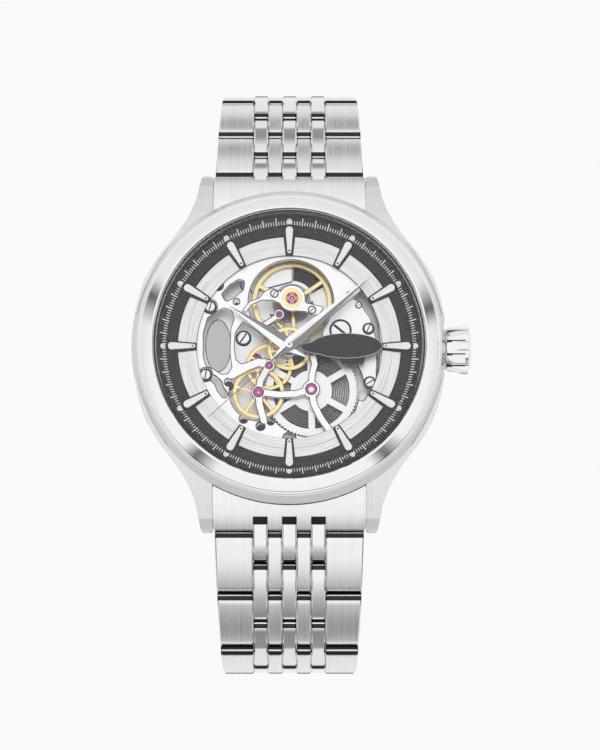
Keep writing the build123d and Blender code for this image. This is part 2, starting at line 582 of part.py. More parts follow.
def soften(solid, width):
    try:
        return chamfer(solid.edges().filter_by(lambda e: abs(e.tangent_at(0.5).X) < 0.5), width)
    except Exception:
        return solid


def taper(solid, a, b, x_in, w0, w1):
    # trims the outer flank so the plate narrows from w0 to w1 along the link
    span = hypot(b[0] - a[0], b[1] - a[1])
    uy, uz = (b[0] - a[0]) / span, (b[1] - a[1]) / span
    mid = (0, (a[0] + b[0]) / 2, (a[1] + b[1]) / 2)
    where = Plane(origin=mid, x_dir=(1, 0, 0), z_dir=(0, -uz, uy))
    half = pitch / 2 + 0.5
    outline = [(x_in - 1, -half), (x_in + w0, -half), (x_in + w1, half), (x_in - 1, half)]
    face = make_face(Polyline(*outline, close=True))
    return solid & extrude(where * face, 3, both=True)


tail = half_pitch / 2 - link_gap / 2 - link_radius
b_mid = (-polished_width / 2, polished_width / 2)
a_near = (b_mid[1] + row_gap, b_mid[1] + row_gap + brushed_width)
b_side = (a_near[1] + row_gap, a_near[1] + row_gap + polished_width)
a_wide = b_side[1] + row_gap


def turn_side(parts, way):
    return parts if way > 0 else [mirror(p, Plane.XZ) for p in parts]


def mirrored_x(solid):
    return [solid, mirror(solid, Plane.YZ)]


chains = {12: chain(slopes_12), 6: chain(slopes_6)}
for side, way in ((12, 1), (6, -1)):
    pins = chains[side]
    for k in range(11):
        a, b = pins[k], pins[k + 1]
        ends = (0.0 if k == 0 else tail, tail)
        parts = []
        if k % 2 == 0:
            for x0, x1 in (b_mid, b_side):
                piece = soften(bar(a, b, ends, x0, x1), 0.2)
                for y, z in (a, b):
                    piece -= rod_x(x0 - 1, x1 + 1, y, z, pin_radius + 0.05 if (y, z) != pins[0]
                                   else spring_bar_radius + 0.05)
                parts += [piece] if x0 < 0 else mirrored_x(piece)
            name = "link_%d_polished_%d" % (side, k // 2 + 1)
        else:
            w0, w1 = wide_widths[k // 2], wide_widths[k // 2 + 1]
            near = soften(bar(a, b, ends, *a_near), 0.12)
            wide = bar(a, b, ends, a_wide, a_wide + w0 + 0.1)
            wide = soften(taper(wide, a, b, a_wide, w0, w1), 0.15)
            for y, z in (a, b):
                near -= rod_x(0, 8, y, z, pin_radius)
                wide -= rod_x(0, a_wide + 1.6, y, z, pin_radius)
                parts.append(rod_x(-a_wide - 1.5, a_wide + 1.5, y, z, pin_radius))
            parts += mirrored_x(near) + mirrored_x(wide)
            name = "link_%d_brushed_%d" % (side, k // 2 + 1)
        save(name, *turn_side(parts, way))

# end links fixed against the case, slotted for the first polished pieces
end_parts = []
for way, slope in ((1, 42), (-1, 33)):
    u = (cos(radians(slope)), -sin(radians(slope)))
    n = (-u[1], u[0])
    p = (lug_pivot_y, lug_pivot_z)
    e = (p[0] + (0.9 - link_gap / 2 - link_radius) * u[0],
         p[1] + (0.9 - link_gap / 2 - link_radius) * u[1])
    top = (e[0] + link_radius * n[0], e[1] + link_radius * n[1])
    under = (e[0] - link_radius * n[0], e[1] - link_radius * n[1])
    outline = [(16.8, 5.5), (20.7, 4.95), top, e, under, (20.6, 0.6), (16.8, 1.75)]
    end = across(outline, -9.9, 9.9) + rod_x(-9.9, 9.9, e[0], e[1], link_radius)
    end -= tube(0, 0, case_radius + 0.08, -3, 9)
    for x0, x1 in (b_mid, b_side, (-b_side[1], -b_side[0])):
        slot = rod_x(x0 - 0.06, x1 + 0.06, p[0], p[1], link_radius + 0.1)
        for lean in (0, -14):
            c, s = cos(radians(slope + lean)), sin(radians(slope + lean))
            w = link_radius + 0.1
            lane = [(p[0] + w * s, p[1] + w * c), (p[0] + w * s + 6 * c, p[1] + w * c - 6 * s),
                    (p[0] - w * s + 6 * c, p[1] - w * c - 6 * s), (p[0] - w * s, p[1] - w * c)]
            slot += across(lane, x0 - 0.06, x1 + 0.06)
        end -= slot
    end -= rod_x(-11, 11, p[0], p[1], spring_bar_radius + 0.02)
    bar_pin = rod_x(-11.0, 11.0, p[0], p[1], spring_bar_radius)
    end_parts += turn_side([max(end.solids(), key=lambda q: q.volume), bar_pin], way)
save("end_links", *end_parts)

# ---- folding clasp ----
y12, z_pin = chains[12][-1][0], chains[12][-1][1] + head_lift
y6 = -chains[6][-1][0]
half = a_wide + wide_widths[5]
cover = Pos(0, (y12 - 1.6 + y6 + 1.6) / 2, 0.5) * Box(2 * half, y12 - y6 - 3.2, 1.0)
for x in (-half + 0.4, half - 0.4):
    cover += Pos(x, (y12 - 2.5 + y6 + 2.5) / 2, 1.8) * Box(0.8, y12 - y6 - 5.0, 3.5)
for y, way in ((y12, 1), (y6, -1)):
    cover += Pos(0, y - way * 2.4, 1.4) * Box(2 * half, 1.9, 2.8)
    cover += bar((y, z_pin), (y - way * 2.0, z_pin), (tail, 0.0), -half, half)
    for x0, x1 in (b_mid, b_side, (-b_side[1], -b_side[0])):
        cover -= Pos((x0 + x1) / 2, y + way * 0.6, 1.5) * Box(x1 - x0 + 0.12, 5.9, 8.0)
cover -= rod_x(-a_wide - 1.5, a_wide + 1.5, y12, z_pin, pin_radius)
fold_y, fold_z, knee_y, knee_z = -17.5, 1.8, 14.0, 2.65
for x in (-4.4, 4.4):
    cover += Pos(x, fold_y, 1.6) * Box(1.4, 1.5, 1.8)
cover -= rod_x(-5.0, 5.0, fold_y, fold_z, 0.32)
cover -= rod_x(6.5, 9.0, -6.0, 2.15, 1.06)
cover -= rod_x(-9.0, -6.5, -6.0, 2.15, 1.06)
cover_pin = rod_x(-a_wide - 1.5, a_wide + 1.5, y12, z_pin, pin_radius)
save("clasp_cover", cover, cover_pin, rod_x(-5.0, 5.0, fold_y, fold_z, 0.32), lift=False)

mid = Pos(0, (fold_y + knee_y) / 2, 1.7) * Box(6.4, knee_y - fold_y - 1.4, 0.6)
mid += rod_x(-3.2, 3.2, fold_y, fold_z, 0.62) + Pos(0, fold_y + 0.6, 1.75) * Box(6.4, 1.0, 0.7)
mid -= rod_x(-3.3, 3.3, fold_y, fold_z, 0.37)
for x in (-2.75, 2.75):
    mid += Pos(x, knee_y - 0.3, 2.2) * Box(0.9, 1.6, 1.6)
mid -= rod_x(-3.3, 3.3, knee_y, knee_z, 0.3)
mid -= Pos(0, -2, 1.7) * Box(3.0, 18.0, 2.0)
save("clasp_middle_blade", mid, rod_x(-3.2, 3.2, knee_y, knee_z, 0.3), lift=False)

inner_end = y6 + 5.2
inner = Pos(0, (inner_end + knee_y) / 2, 2.85) * Box(6.4, knee_y - inner_end - 2.6, 0.55)
inner += Pos(0, knee_y - 1.0, 2.8) * Box(4.4, 1.4, 0.5) + rod_x(-2.2, 2.2, knee_y, knee_z, 0.55)
inner -= rod_x(-2.4, 2.4, knee_y, knee_z, 0.35)
inner -= Pos(0, -2, 2.85) * Box(2.6, 16.0, 2.0)
save("clasp_inner_blade", inner, lift=False)

for way, name in ((1, "right"), (-1, "left")):
    push = rod_x(4.6, 8.9, -6.0, 2.15, 1.0) + Pos(4.5, -6.0, 2.1) * Box(0.8, 3.0, 1.8)
    push = push if way > 0 else mirror(push, Plane.YZ)
    save("clasp_button_" + name, push, lift=False)
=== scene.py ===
import json
import math
import bpy
import bmesh
from mathutils import Matrix, Vector


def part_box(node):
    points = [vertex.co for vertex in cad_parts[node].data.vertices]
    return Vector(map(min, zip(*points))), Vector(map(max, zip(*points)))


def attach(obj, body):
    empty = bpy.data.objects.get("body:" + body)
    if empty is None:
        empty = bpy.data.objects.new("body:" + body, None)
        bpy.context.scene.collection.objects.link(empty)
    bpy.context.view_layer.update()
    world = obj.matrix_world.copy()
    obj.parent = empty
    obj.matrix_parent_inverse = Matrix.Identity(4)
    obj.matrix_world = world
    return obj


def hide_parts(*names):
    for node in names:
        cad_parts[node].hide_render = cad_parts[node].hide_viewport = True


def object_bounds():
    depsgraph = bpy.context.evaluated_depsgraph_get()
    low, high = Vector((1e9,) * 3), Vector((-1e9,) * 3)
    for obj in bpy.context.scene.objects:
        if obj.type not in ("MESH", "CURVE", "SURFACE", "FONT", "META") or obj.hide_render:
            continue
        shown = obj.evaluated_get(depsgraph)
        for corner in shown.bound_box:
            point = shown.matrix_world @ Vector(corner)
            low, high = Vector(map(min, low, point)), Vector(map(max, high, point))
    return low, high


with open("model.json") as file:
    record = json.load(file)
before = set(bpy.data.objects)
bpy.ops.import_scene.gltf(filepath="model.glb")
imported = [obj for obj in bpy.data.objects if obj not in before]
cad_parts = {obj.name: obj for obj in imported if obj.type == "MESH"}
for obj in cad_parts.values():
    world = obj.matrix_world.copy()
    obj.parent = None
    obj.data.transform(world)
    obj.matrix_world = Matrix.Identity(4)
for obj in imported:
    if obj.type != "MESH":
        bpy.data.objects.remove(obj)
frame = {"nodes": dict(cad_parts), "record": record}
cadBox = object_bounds()
nodes = frame["nodes"]
mm = 0.001
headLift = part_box("caseback")[0].z  # the caseback's outer face; every head height counts from it
print("frame loaded:", len(nodes), "nodes")


def socketed(name, inputs, outputs):
    group = bpy.data.node_groups.new(name, "ShaderNodeTree")
    for label, kind, value in inputs:
        made = group.interface.new_socket(name=label, in_out="INPUT", socket_type=kind)
        made.default_value = value
    for label, kind in outputs:
        group.interface.new_socket(name=label, in_out="OUTPUT", socket_type=kind)
    return group, group.nodes.new("NodeGroupInput"), group.nodes.new("NodeGroupOutput")


def mathNode(tree, kind, a, b=None):
    node = tree.nodes.new("ShaderNodeMath")
    node.operation = kind
    for slot, value in ((0, a), (1, b)):
        if value is None:
            continue
        if isinstance(value, (int, float)):
            node.inputs[slot].default_value = value
        else:
            tree.links.new(value, node.inputs[slot])
    return node.outputs[0]


def noiseInto(tree, vector, scale, detail=2.0):
    node = tree.nodes.new("ShaderNodeTexNoise")
    node.inputs["Scale"].default_value = scale
    node.inputs["Detail"].default_value = detail
    tree.links.new(vector, node.inputs["Vector"])
    return node.outputs["Fac"]


def objectPlace(tree):
    return tree.nodes.new("ShaderNodeTexCoord").outputs["Object"]


def brushGroup(name, second, spread):
    # fine brush lines: a noise stretched along the way the brush went
    tree, start, end = socketed(name, [("Lines", "NodeSocketFloat", 9000.0), second],
                                [("Grain", "NodeSocketFloat")])
    parts = tree.nodes.new("ShaderNodeSeparateXYZ")
    tree.links.new(objectPlace(tree), parts.inputs[0])
    joined = tree.nodes.new("ShaderNodeCombineXYZ")
    for i, value in enumerate(spread(tree, parts.outputs, start.outputs)):
        tree.links.new(value, joined.inputs[i])
    tree.links.new(noiseInto(tree, joined.outputs[0], 1.0, 3.0), end.inputs["Grain"])
    return tree


def alongYandZ(tree, place, sizes):
    # lines that run along Y and Z, so they differ mostly across X
    return (mathNode(tree, "MULTIPLY", place[0], sizes["Lines"]),
            mathNode(tree, "MULTIPLY", place[1], sizes["Across"]),
            mathNode(tree, "MULTIPLY", place[2], sizes["Across"]))


def roundTheAxis(tree, place, sizes):
    # lines that run round the Z axis, so they differ mostly with the radius
    x, y = place[0], place[1]
    squares = mathNode(tree, "ADD", mathNode(tree, "MULTIPLY", x, x), mathNode(tree, "MULTIPLY", y, y))
    radius = mathNode(tree, "SQRT", squares)
    return (mathNode(tree, "MULTIPLY", radius, sizes["Lines"]),
            mathNode(tree, "MULTIPLY", mathNode(tree, "DIVIDE", x, radius), sizes["Sweep"]),
            mathNode(tree, "MULTIPLY", mathNode(tree, "DIVIDE", y, radius), sizes["Sweep"]))


straightBrush = brushGroup("straightBrush", ("Across", "NodeSocketFloat", 60.0), alongYandZ)
roundBrush = brushGroup("roundBrush", ("Sweep", "NodeSocketFloat", 3.0), roundTheAxis)


def ramped(tree, source, low, high):
    # spreads a noise's middle half over low to high
    node = tree.nodes.new("ShaderNodeMapRange")
    node.inputs["From Min"].default_value = 0.25
    node.inputs["From Max"].default_value = 0.75
    node.inputs["To Min"].default_value = low
    node.inputs["To Max"].default_value = high
    tree.links.new(source, node.inputs["Value"])
    return node.outputs["Result"]


def blended(tree, factor, dark, light):
    shade = tree.nodes.new("ShaderNodeMix")
    shade.data_type = "RGBA"
    tree.links.new(factor, shade.inputs["Factor"])
    shade.inputs["A"].default_value = (*dark, 1)
    shade.inputs["B"].default_value = (*light, 1)
    return shade.outputs["Result"]


def bumped(tree, height, strength, distance):
    bump = tree.nodes.new("ShaderNodeBump")
    bump.inputs["Strength"].default_value = strength
    bump.inputs["Distance"].default_value = distance
    tree.links.new(height, bump.inputs["Height"])
    return bump.outputs["Normal"]


def metal(name, color, roughness, brush=None, lines=9000.0, depth=0.25, vary=0.06, tint=0.06):
    # brushed or polished metal: the grain moves roughness, tone and a fine bump
    made = bpy.data.materials.new(name)
    made.use_nodes = True
    tree = made.node_tree
    shader = tree.nodes["Principled BSDF"]
    shader.inputs["Metallic"].default_value = 1.0
    if brush is None:
        grain = noiseInto(tree, objectPlace(tree), 260.0)
    else:
        group = tree.nodes.new("ShaderNodeGroup")
        group.node_tree = brush
        group.inputs["Lines"].default_value = lines
        grain = group.outputs["Grain"]
        tree.links.new(bumped(tree, grain, depth, 0.02 * mm), shader.inputs["Normal"])
    gloss = ramped(tree, grain, max(roughness - vary, 0.02), roughness + vary)
    tree.links.new(gloss, shader.inputs["Roughness"])
    dark = [c * (1 - tint) for c in color]
    light = [min(c * (1 + tint), 1) for c in color]
    tree.links.new(blended(tree, ramped(tree, grain, 0.0, 1.0), dark, light), shader.inputs["Base Color"])
    return made


lacquerLook = {"specks": 1400.0, "tone": 0.25, "gloss": 0.08, "depth": 0.15, "level": 0.3}


def lacquer(name, color, roughness):
    # a matt coat with a faint speckle
    made = bpy.data.materials.new(name)
    made.use_nodes = True
    tree = made.node_tree
    shader = tree.nodes["Principled BSDF"]
    shader.inputs["Specular IOR Level"].default_value = lacquerLook["level"]
    grain = noiseInto(tree, objectPlace(tree), lacquerLook["specks"], 4.0)
    dark = [c * (1 - lacquerLook["tone"]) for c in color]
    light = [c * (1 + lacquerLook["tone"]) for c in color]
    tree.links.new(blended(tree, grain, dark, light), shader.inputs["Base Color"])
    gloss = ramped(tree, grain, roughness - lacquerLook["gloss"], roughness + lacquerLook["gloss"])
    tree.links.new(gloss, shader.inputs["Roughness"])
    tree.links.new(bumped(tree, grain, lacquerLook["depth"], 0.01 * mm), shader.inputs["Normal"])
    return made


def clearGlass(name, color, roughness, ior, through=0.0, alpha=1.0):
    made = bpy.data.materials.new(name)
    made.use_nodes = True
    shader = made.node_tree.nodes["Principled BSDF"]
    shader.inputs["Base Color"].default_value = (*color, 1)
    shader.inputs["Roughness"].default_value = roughness
    shader.inputs["IOR"].default_value = ior
    shader.inputs["Transmission Weight"].default_value = through
    shader.inputs["Alpha"].default_value = alpha
    return made


finishes = {
    "polished": metal("polishedSteel", (0.80, 0.80, 0.81), 0.09, vary=0.03, tint=0.02),
    "brushed": metal("brushedSteel", (0.80, 0.80, 0.81), 0.28, straightBrush, 14000.0, 0.35, 0.08, 0.10),
    "case": metal("caseSteel", (0.68, 0.68, 0.69), 0.26, straightBrush, 14000.0, 0.25, 0.06, 0.07),
    "flange": lacquer("flangeBlack", (0.022, 0.022, 0.024), 0.38),
    "dial": metal("dialSilver", (0.72, 0.72, 0.73), 0.34, roundBrush, 9000.0, 0.8, 0.10, 0.22),
    "plate": metal("plateSilver", (0.90, 0.90, 0.91), 0.36, roundBrush, 5000.0, 0.15, 0.05, 0.03),
    "bridge": metal("bridgeSilver", (0.88, 0.88, 0.89), 0.34, straightBrush, 5000.0, 0.15, 0.05, 0.03),
    "gilt": metal("giltBrass", (0.93, 0.76, 0.40), 0.24, straightBrush, 9000.0, 0.2, 0.05, 0.06),
    "wheelSteel": metal("wheelSteel", (0.84, 0.84, 0.85), 0.30, roundBrush, 9000.0, 0.3, 0.06, 0.06),
    "spring": metal("springSteel", (0.16, 0.16, 0.18), 0.30, vary=0.08, tint=0.2),
    "screw": metal("screwSteel", (0.80, 0.80, 0.82), 0.14, vary=0.04, tint=0.03),
    # lit and shaded copies of the hand steel: painted light and painted shade for the hands' two facets
    "handBright": metal("handBright", (0.88, 0.88, 0.89), 0.32, straightBrush, 16000.0, 0.25, 0.05, 0.05),
    "handPaintedShade": metal("handPaintedShade", (0.22, 0.22, 0.23), 0.16, straightBrush, 16000.0, 0.1, 0.04, 0.06),
    "markerTop": metal("markerTop", (0.74, 0.74, 0.75), 0.28, straightBrush, 9000.0, 0.2, 0.05, 0.05),
    "plaque": lacquer("plaqueGrey", (0.022, 0.022, 0.024), 0.40),
    # painted shade: dark outlines along rims, the crown's flute floors and the movement's deep corners
    "edge": metal("paintedShadeSteel", (0.05, 0.05, 0.055), 0.35, vary=0.05, tint=0.1),
    # painted shade for the links' round ends and for the clearance round the first row
    "gap": metal("linkGap", (0.035, 0.035, 0.037), 0.35, vary=0.05, tint=0.1),
    "smoked": clearGlass("smokedSapphire", (0.42, 0.42, 0.43), 0.05, 1.4, alpha=0.38),
    # the gilt wheels' rim line in painted shade, and the plaque's lighter rim line as painted reflection
    "giltEdgePaintedShade": metal("giltEdgePaintedShade", (0.30, 0.20, 0.08), 0.30, vary=0.05, tint=0.1),
    "plaqueRimPaintedReflection": metal("plaqueRimPaintedReflection", (0.45, 0.45, 0.46), 0.30, vary=0.05, tint=0.1),
    "print": lacquer("printWhite", (0.88, 0.88, 0.87), 0.5),
    "rubber": lacquer("gasketRubber", (0.02, 0.02, 0.022), 0.6),
    "ruby": clearGlass("rubyJewel", (0.62, 0.05, 0.40), 0.08, 1.76, 0.35),
    "crystal": clearGlass("sapphire", (0.97, 0.98, 1.0), 0.02, 1.15, alpha=0.02),
}
nodeFinish = {
    "case_steel": "case", "polished_steel": "polished", "brushed_steel": "brushed",
    "crystal_glass": "crystal", "flange_black": "flange", "dial_silver": "dial",
    "plate_silver": "plate", "bridge_silver": "bridge", "gilt_brass": "gilt",
    "train_steel": "wheelSteel", "spring_steel": "spring", "ruby": "ruby",
    "screw_steel": "screw", "hand_steel": "handBright", "marker_steel": "markerTop",
    "plaque_grey": "plaque", "gasket_rubber": "rubber",
}
slotOf = {part["node"]: part["material_slot"] for part in frame["record"]["subparts"]}
for name, piece in nodes.items():
    finish = finishes[nodeFinish[slotOf[name]]]
    piece.data.materials.clear()
    piece.data.materials.append(finish)
print("finishes given")


bodyOf = {n: b for b, members in frame["record"]["behaviour"]["bodies"].items() for n in members}


def keep(name, mesh, replaced=(), body=None, materials=()):
    # puts a finished mesh in the scene, on its body and in place of the CAD nodes it stands for
    piece = bpy.data.objects.new(name, mesh)
    bpy.context.scene.collection.objects.link(piece)
    for finish in materials:
        mesh.materials.append(finish)
    if body is None:
        body = bodyOf[replaced[0]]
    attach(piece, body)
    if replaced:
        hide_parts(*replaced)
    return piece


def meshFrom(work, name):
    mesh = bpy.data.meshes.new(name)
    work.to_mesh(mesh)
    work.free()
    return mesh


def faceTowards(face, way):
    face.normal_update()
    if face.normal.dot(way) < 0:
        face.normal_flip()


def lathe(name, profile, steps=256):
    # profile is a closed loop of (radius, height) in mm, turned about the hands' axis
    work = bmesh.new()
    rings = []
    for radius, height in profile:
        z = headLift + height * mm
        if radius == 0:
            rings.append([work.verts.new((0, 0, z))])
            continue
        turns = [2 * math.pi * i / steps for i in range(steps)]
        rings.append([work.verts.new((radius * mm * math.cos(a), radius * mm * math.sin(a), z))
                      for a in turns])
    for k in range(len(rings)):
        one, two = rings[k], rings[(k + 1) % len(rings)]
        if len(one) == 1 and len(two) == 1:
            continue
        for i in range(steps):
            j = (i + 1) % steps
            corners = [one[i % len(one)], one[j % len(one)], two[j % len(two)], two[i % len(two)]]
            unique = list(dict.fromkeys(corners))
            if len(unique) > 2:
                work.faces.new(unique)
    bmesh.ops.recalc_face_normals(work, faces=work.faces)
    return meshFrom(work, name)


def smoothed(mesh, angle=30):
    for face in mesh.polygons:
        face.use_smooth = True
    mesh.set_sharp_from_angle(angle=math.radians(angle))
    return mesh


def mergedCopy(node, sharp=25):
    # a copy of a CAD node with its triangles joined, smooth up to the sharp angle
    mesh = nodes[node].data.copy()
    work = bmesh.new()
    work.from_mesh(mesh)
    bmesh.ops.remove_doubles(work, verts=work.verts, dist=1e-7)
    work.to_mesh(mesh)
    work.free()
    mesh.materials.clear()
    return smoothed(mesh, sharp)


# profiles of the turned rings, as (radius, height over the back) in mm
turned = {
    "bezel": [(17.33, 8.13), (19.55, 8.13), (19.6, 8.18), (19.6, 8.40), (19.56, 8.44), (19.42, 8.47),
              (19.36, 8.52), (19.36, 8.60), (19.30, 8.70), (18.9, 9.0), (18.12, 9.55), (18.0, 9.6),
              (17.82, 9.6), (17.76, 9.58), (17.67, 9.45), (17.66, 9.0), (17.33, 8.96)],
    "crystal": [(0, 9.13), (17.52, 9.13), (17.6, 9.2), (17.6, 10.08), (17.35, 10.3), (0, 10.3)],
}
keep("bezelRing", smoothed(lathe("bezelRing", turned["bezel"]), 20), ("bezel",),
     materials=[finishes["polished"]])
keep("crystalDisc", smoothed(lathe("crystalDisc", turned["crystal"]), 20), ("crystal",),
     materials=[finishes["crystal"]])

flange = {"foot": (15.8, 6.5), "top": (17.02, 7.35)}  # the sloped track, from its foot to its top
flangeBody = lathe("flangeBody", [(12.02, 5.96), (17.18, 5.96), (17.18, 8.84), (17.08, 8.84), flange["top"],
                                  (16.96, 7.31), (15.86, 6.54), flange["foot"], (14.62, 6.5), (14.60, 6.12),
                                  (12.02, 6.12)])


def around(r, deg, aside, height):
    # a point at radius r, deg clockwise from 12, stepped aside, in metres
    a = math.radians(deg)
    return Vector(((r * math.sin(a) + aside * math.cos(a)) * mm,
                   (r * math.cos(a) - aside * math.sin(a)) * mm, headLift + height * mm))


def prismInto(work, outline, z0, z1, rise=0.0, inset=0.0):
    # an upright prism from a flat outline of (x, y) in mm, with an optional bevelled top
    count = len(outline)
    low = [work.verts.new((x * mm, y * mm, headLift + z0 * mm)) for x, y in outline]
    high = [work.verts.new((x * mm, y * mm, headLift + z1 * mm)) for x, y in outline]
    faces = [work.faces.new(list(reversed(low)))]
    for i in range(count):
        j = (i + 1) % count
        faces.append(work.faces.new([low[i], low[j], high[j], high[i]]))
    top = work.faces.new(high)
    faces.append(top)
    if inset > 0:
        made = bmesh.ops.inset_region(work, faces=[top], thickness=inset * mm, depth=0)
        bmesh.ops.translate(work, verts=top.verts, vec=(0, 0, rise * mm))
        faces += made["faces"]
    return faces, top


def flatPoints(points):
    return [(p.x / mm, p.y / mm) for p in points]


tongueForm = {"inner": 12.04, "outer": 15.7, "widthIn": 0.46, "widthOut": 0.84, "z": (6.0, 6.46)}
work = bmesh.new()
for i in range(12):
    deg = i * 30
    outline = flatPoints([around(tongueForm["inner"], deg, -tongueForm["widthIn"], 0),
                          around(tongueForm["outer"], deg, -tongueForm["widthOut"], 0),
                          around(tongueForm["outer"], deg, tongueForm["widthOut"], 0),
                          around(tongueForm["inner"], deg, tongueForm["widthIn"], 0)][::-1])
    prismInto(work, outline, *tongueForm["z"], rise=0.05, inset=0.06)
bmesh.ops.recalc_face_normals(work, faces=work.faces)
tongues = meshFrom(work, "tongues")


def joinedMesh(name, parts):
    work = bmesh.new()
    for part in parts:
        work.from_mesh(part)
    return meshFrom(work, name)


flangeMesh = joinedMesh("flangeRing", [flangeBody, tongues])
keep("flangeRing", smoothed(flangeMesh, 25), ("chapter_ring",),
     materials=[finishes["flange"]])
print("turned rings done")

# the silver ring is in twelve fields, each with a raised inner step
fieldForm = {"inner": 12.06, "step": 13.35, "outer": 14.5, "gapIn": 0.50, "gapOut": 0.76,
             "low": 6.14, "top": 6.28, "raised": 6.40, "parts": 24}
profile = [(fieldForm["inner"], fieldForm["low"]), (fieldForm["inner"], fieldForm["raised"] - 0.03),
           (fieldForm["inner"] + 0.04, fieldForm["raised"]), (fieldForm["step"] - 0.1, fieldForm["raised"]),
           (fieldForm["step"] - 0.04, fieldForm["raised"] - 0.02), (fieldForm["step"], fieldForm["top"]),
           (fieldForm["outer"] - 0.04, fieldForm["top"]), (fieldForm["outer"], fieldForm["top"] - 0.04),
           (fieldForm["outer"], fieldForm["low"])]
work = bmesh.new()
for i in range(12):
    rows = []
    for r, z in profile:
        share = (r - fieldForm["inner"]) / (fieldForm["outer"] - fieldForm["inner"])
        gap = fieldForm["gapIn"] + share * (fieldForm["gapOut"] - fieldForm["gapIn"])
        edge = math.degrees(math.asin(gap / r))
        turns = [i * 30 + edge + (30 - 2 * edge) * k / fieldForm["parts"]
                 for k in range(fieldForm["parts"] + 1)]
        rows.append([work.verts.new(around(r, deg, 0, z)) for deg in turns])
    for a, b in zip(rows, rows[1:] + rows[:1]):
        for k in range(fieldForm["parts"]):
            work.faces.new([a[k], a[k + 1], b[k + 1], b[k]])
    work.faces.new([row[0] for row in rows])
    work.faces.new([row[-1] for row in reversed(rows)])
bmesh.ops.recalc_face_normals(work, faces=work.faces)
keep("silverRing", smoothed(meshFrom(work, "silverRing"), 20), ("dial_ring",),
     materials=[finishes["dial"]])


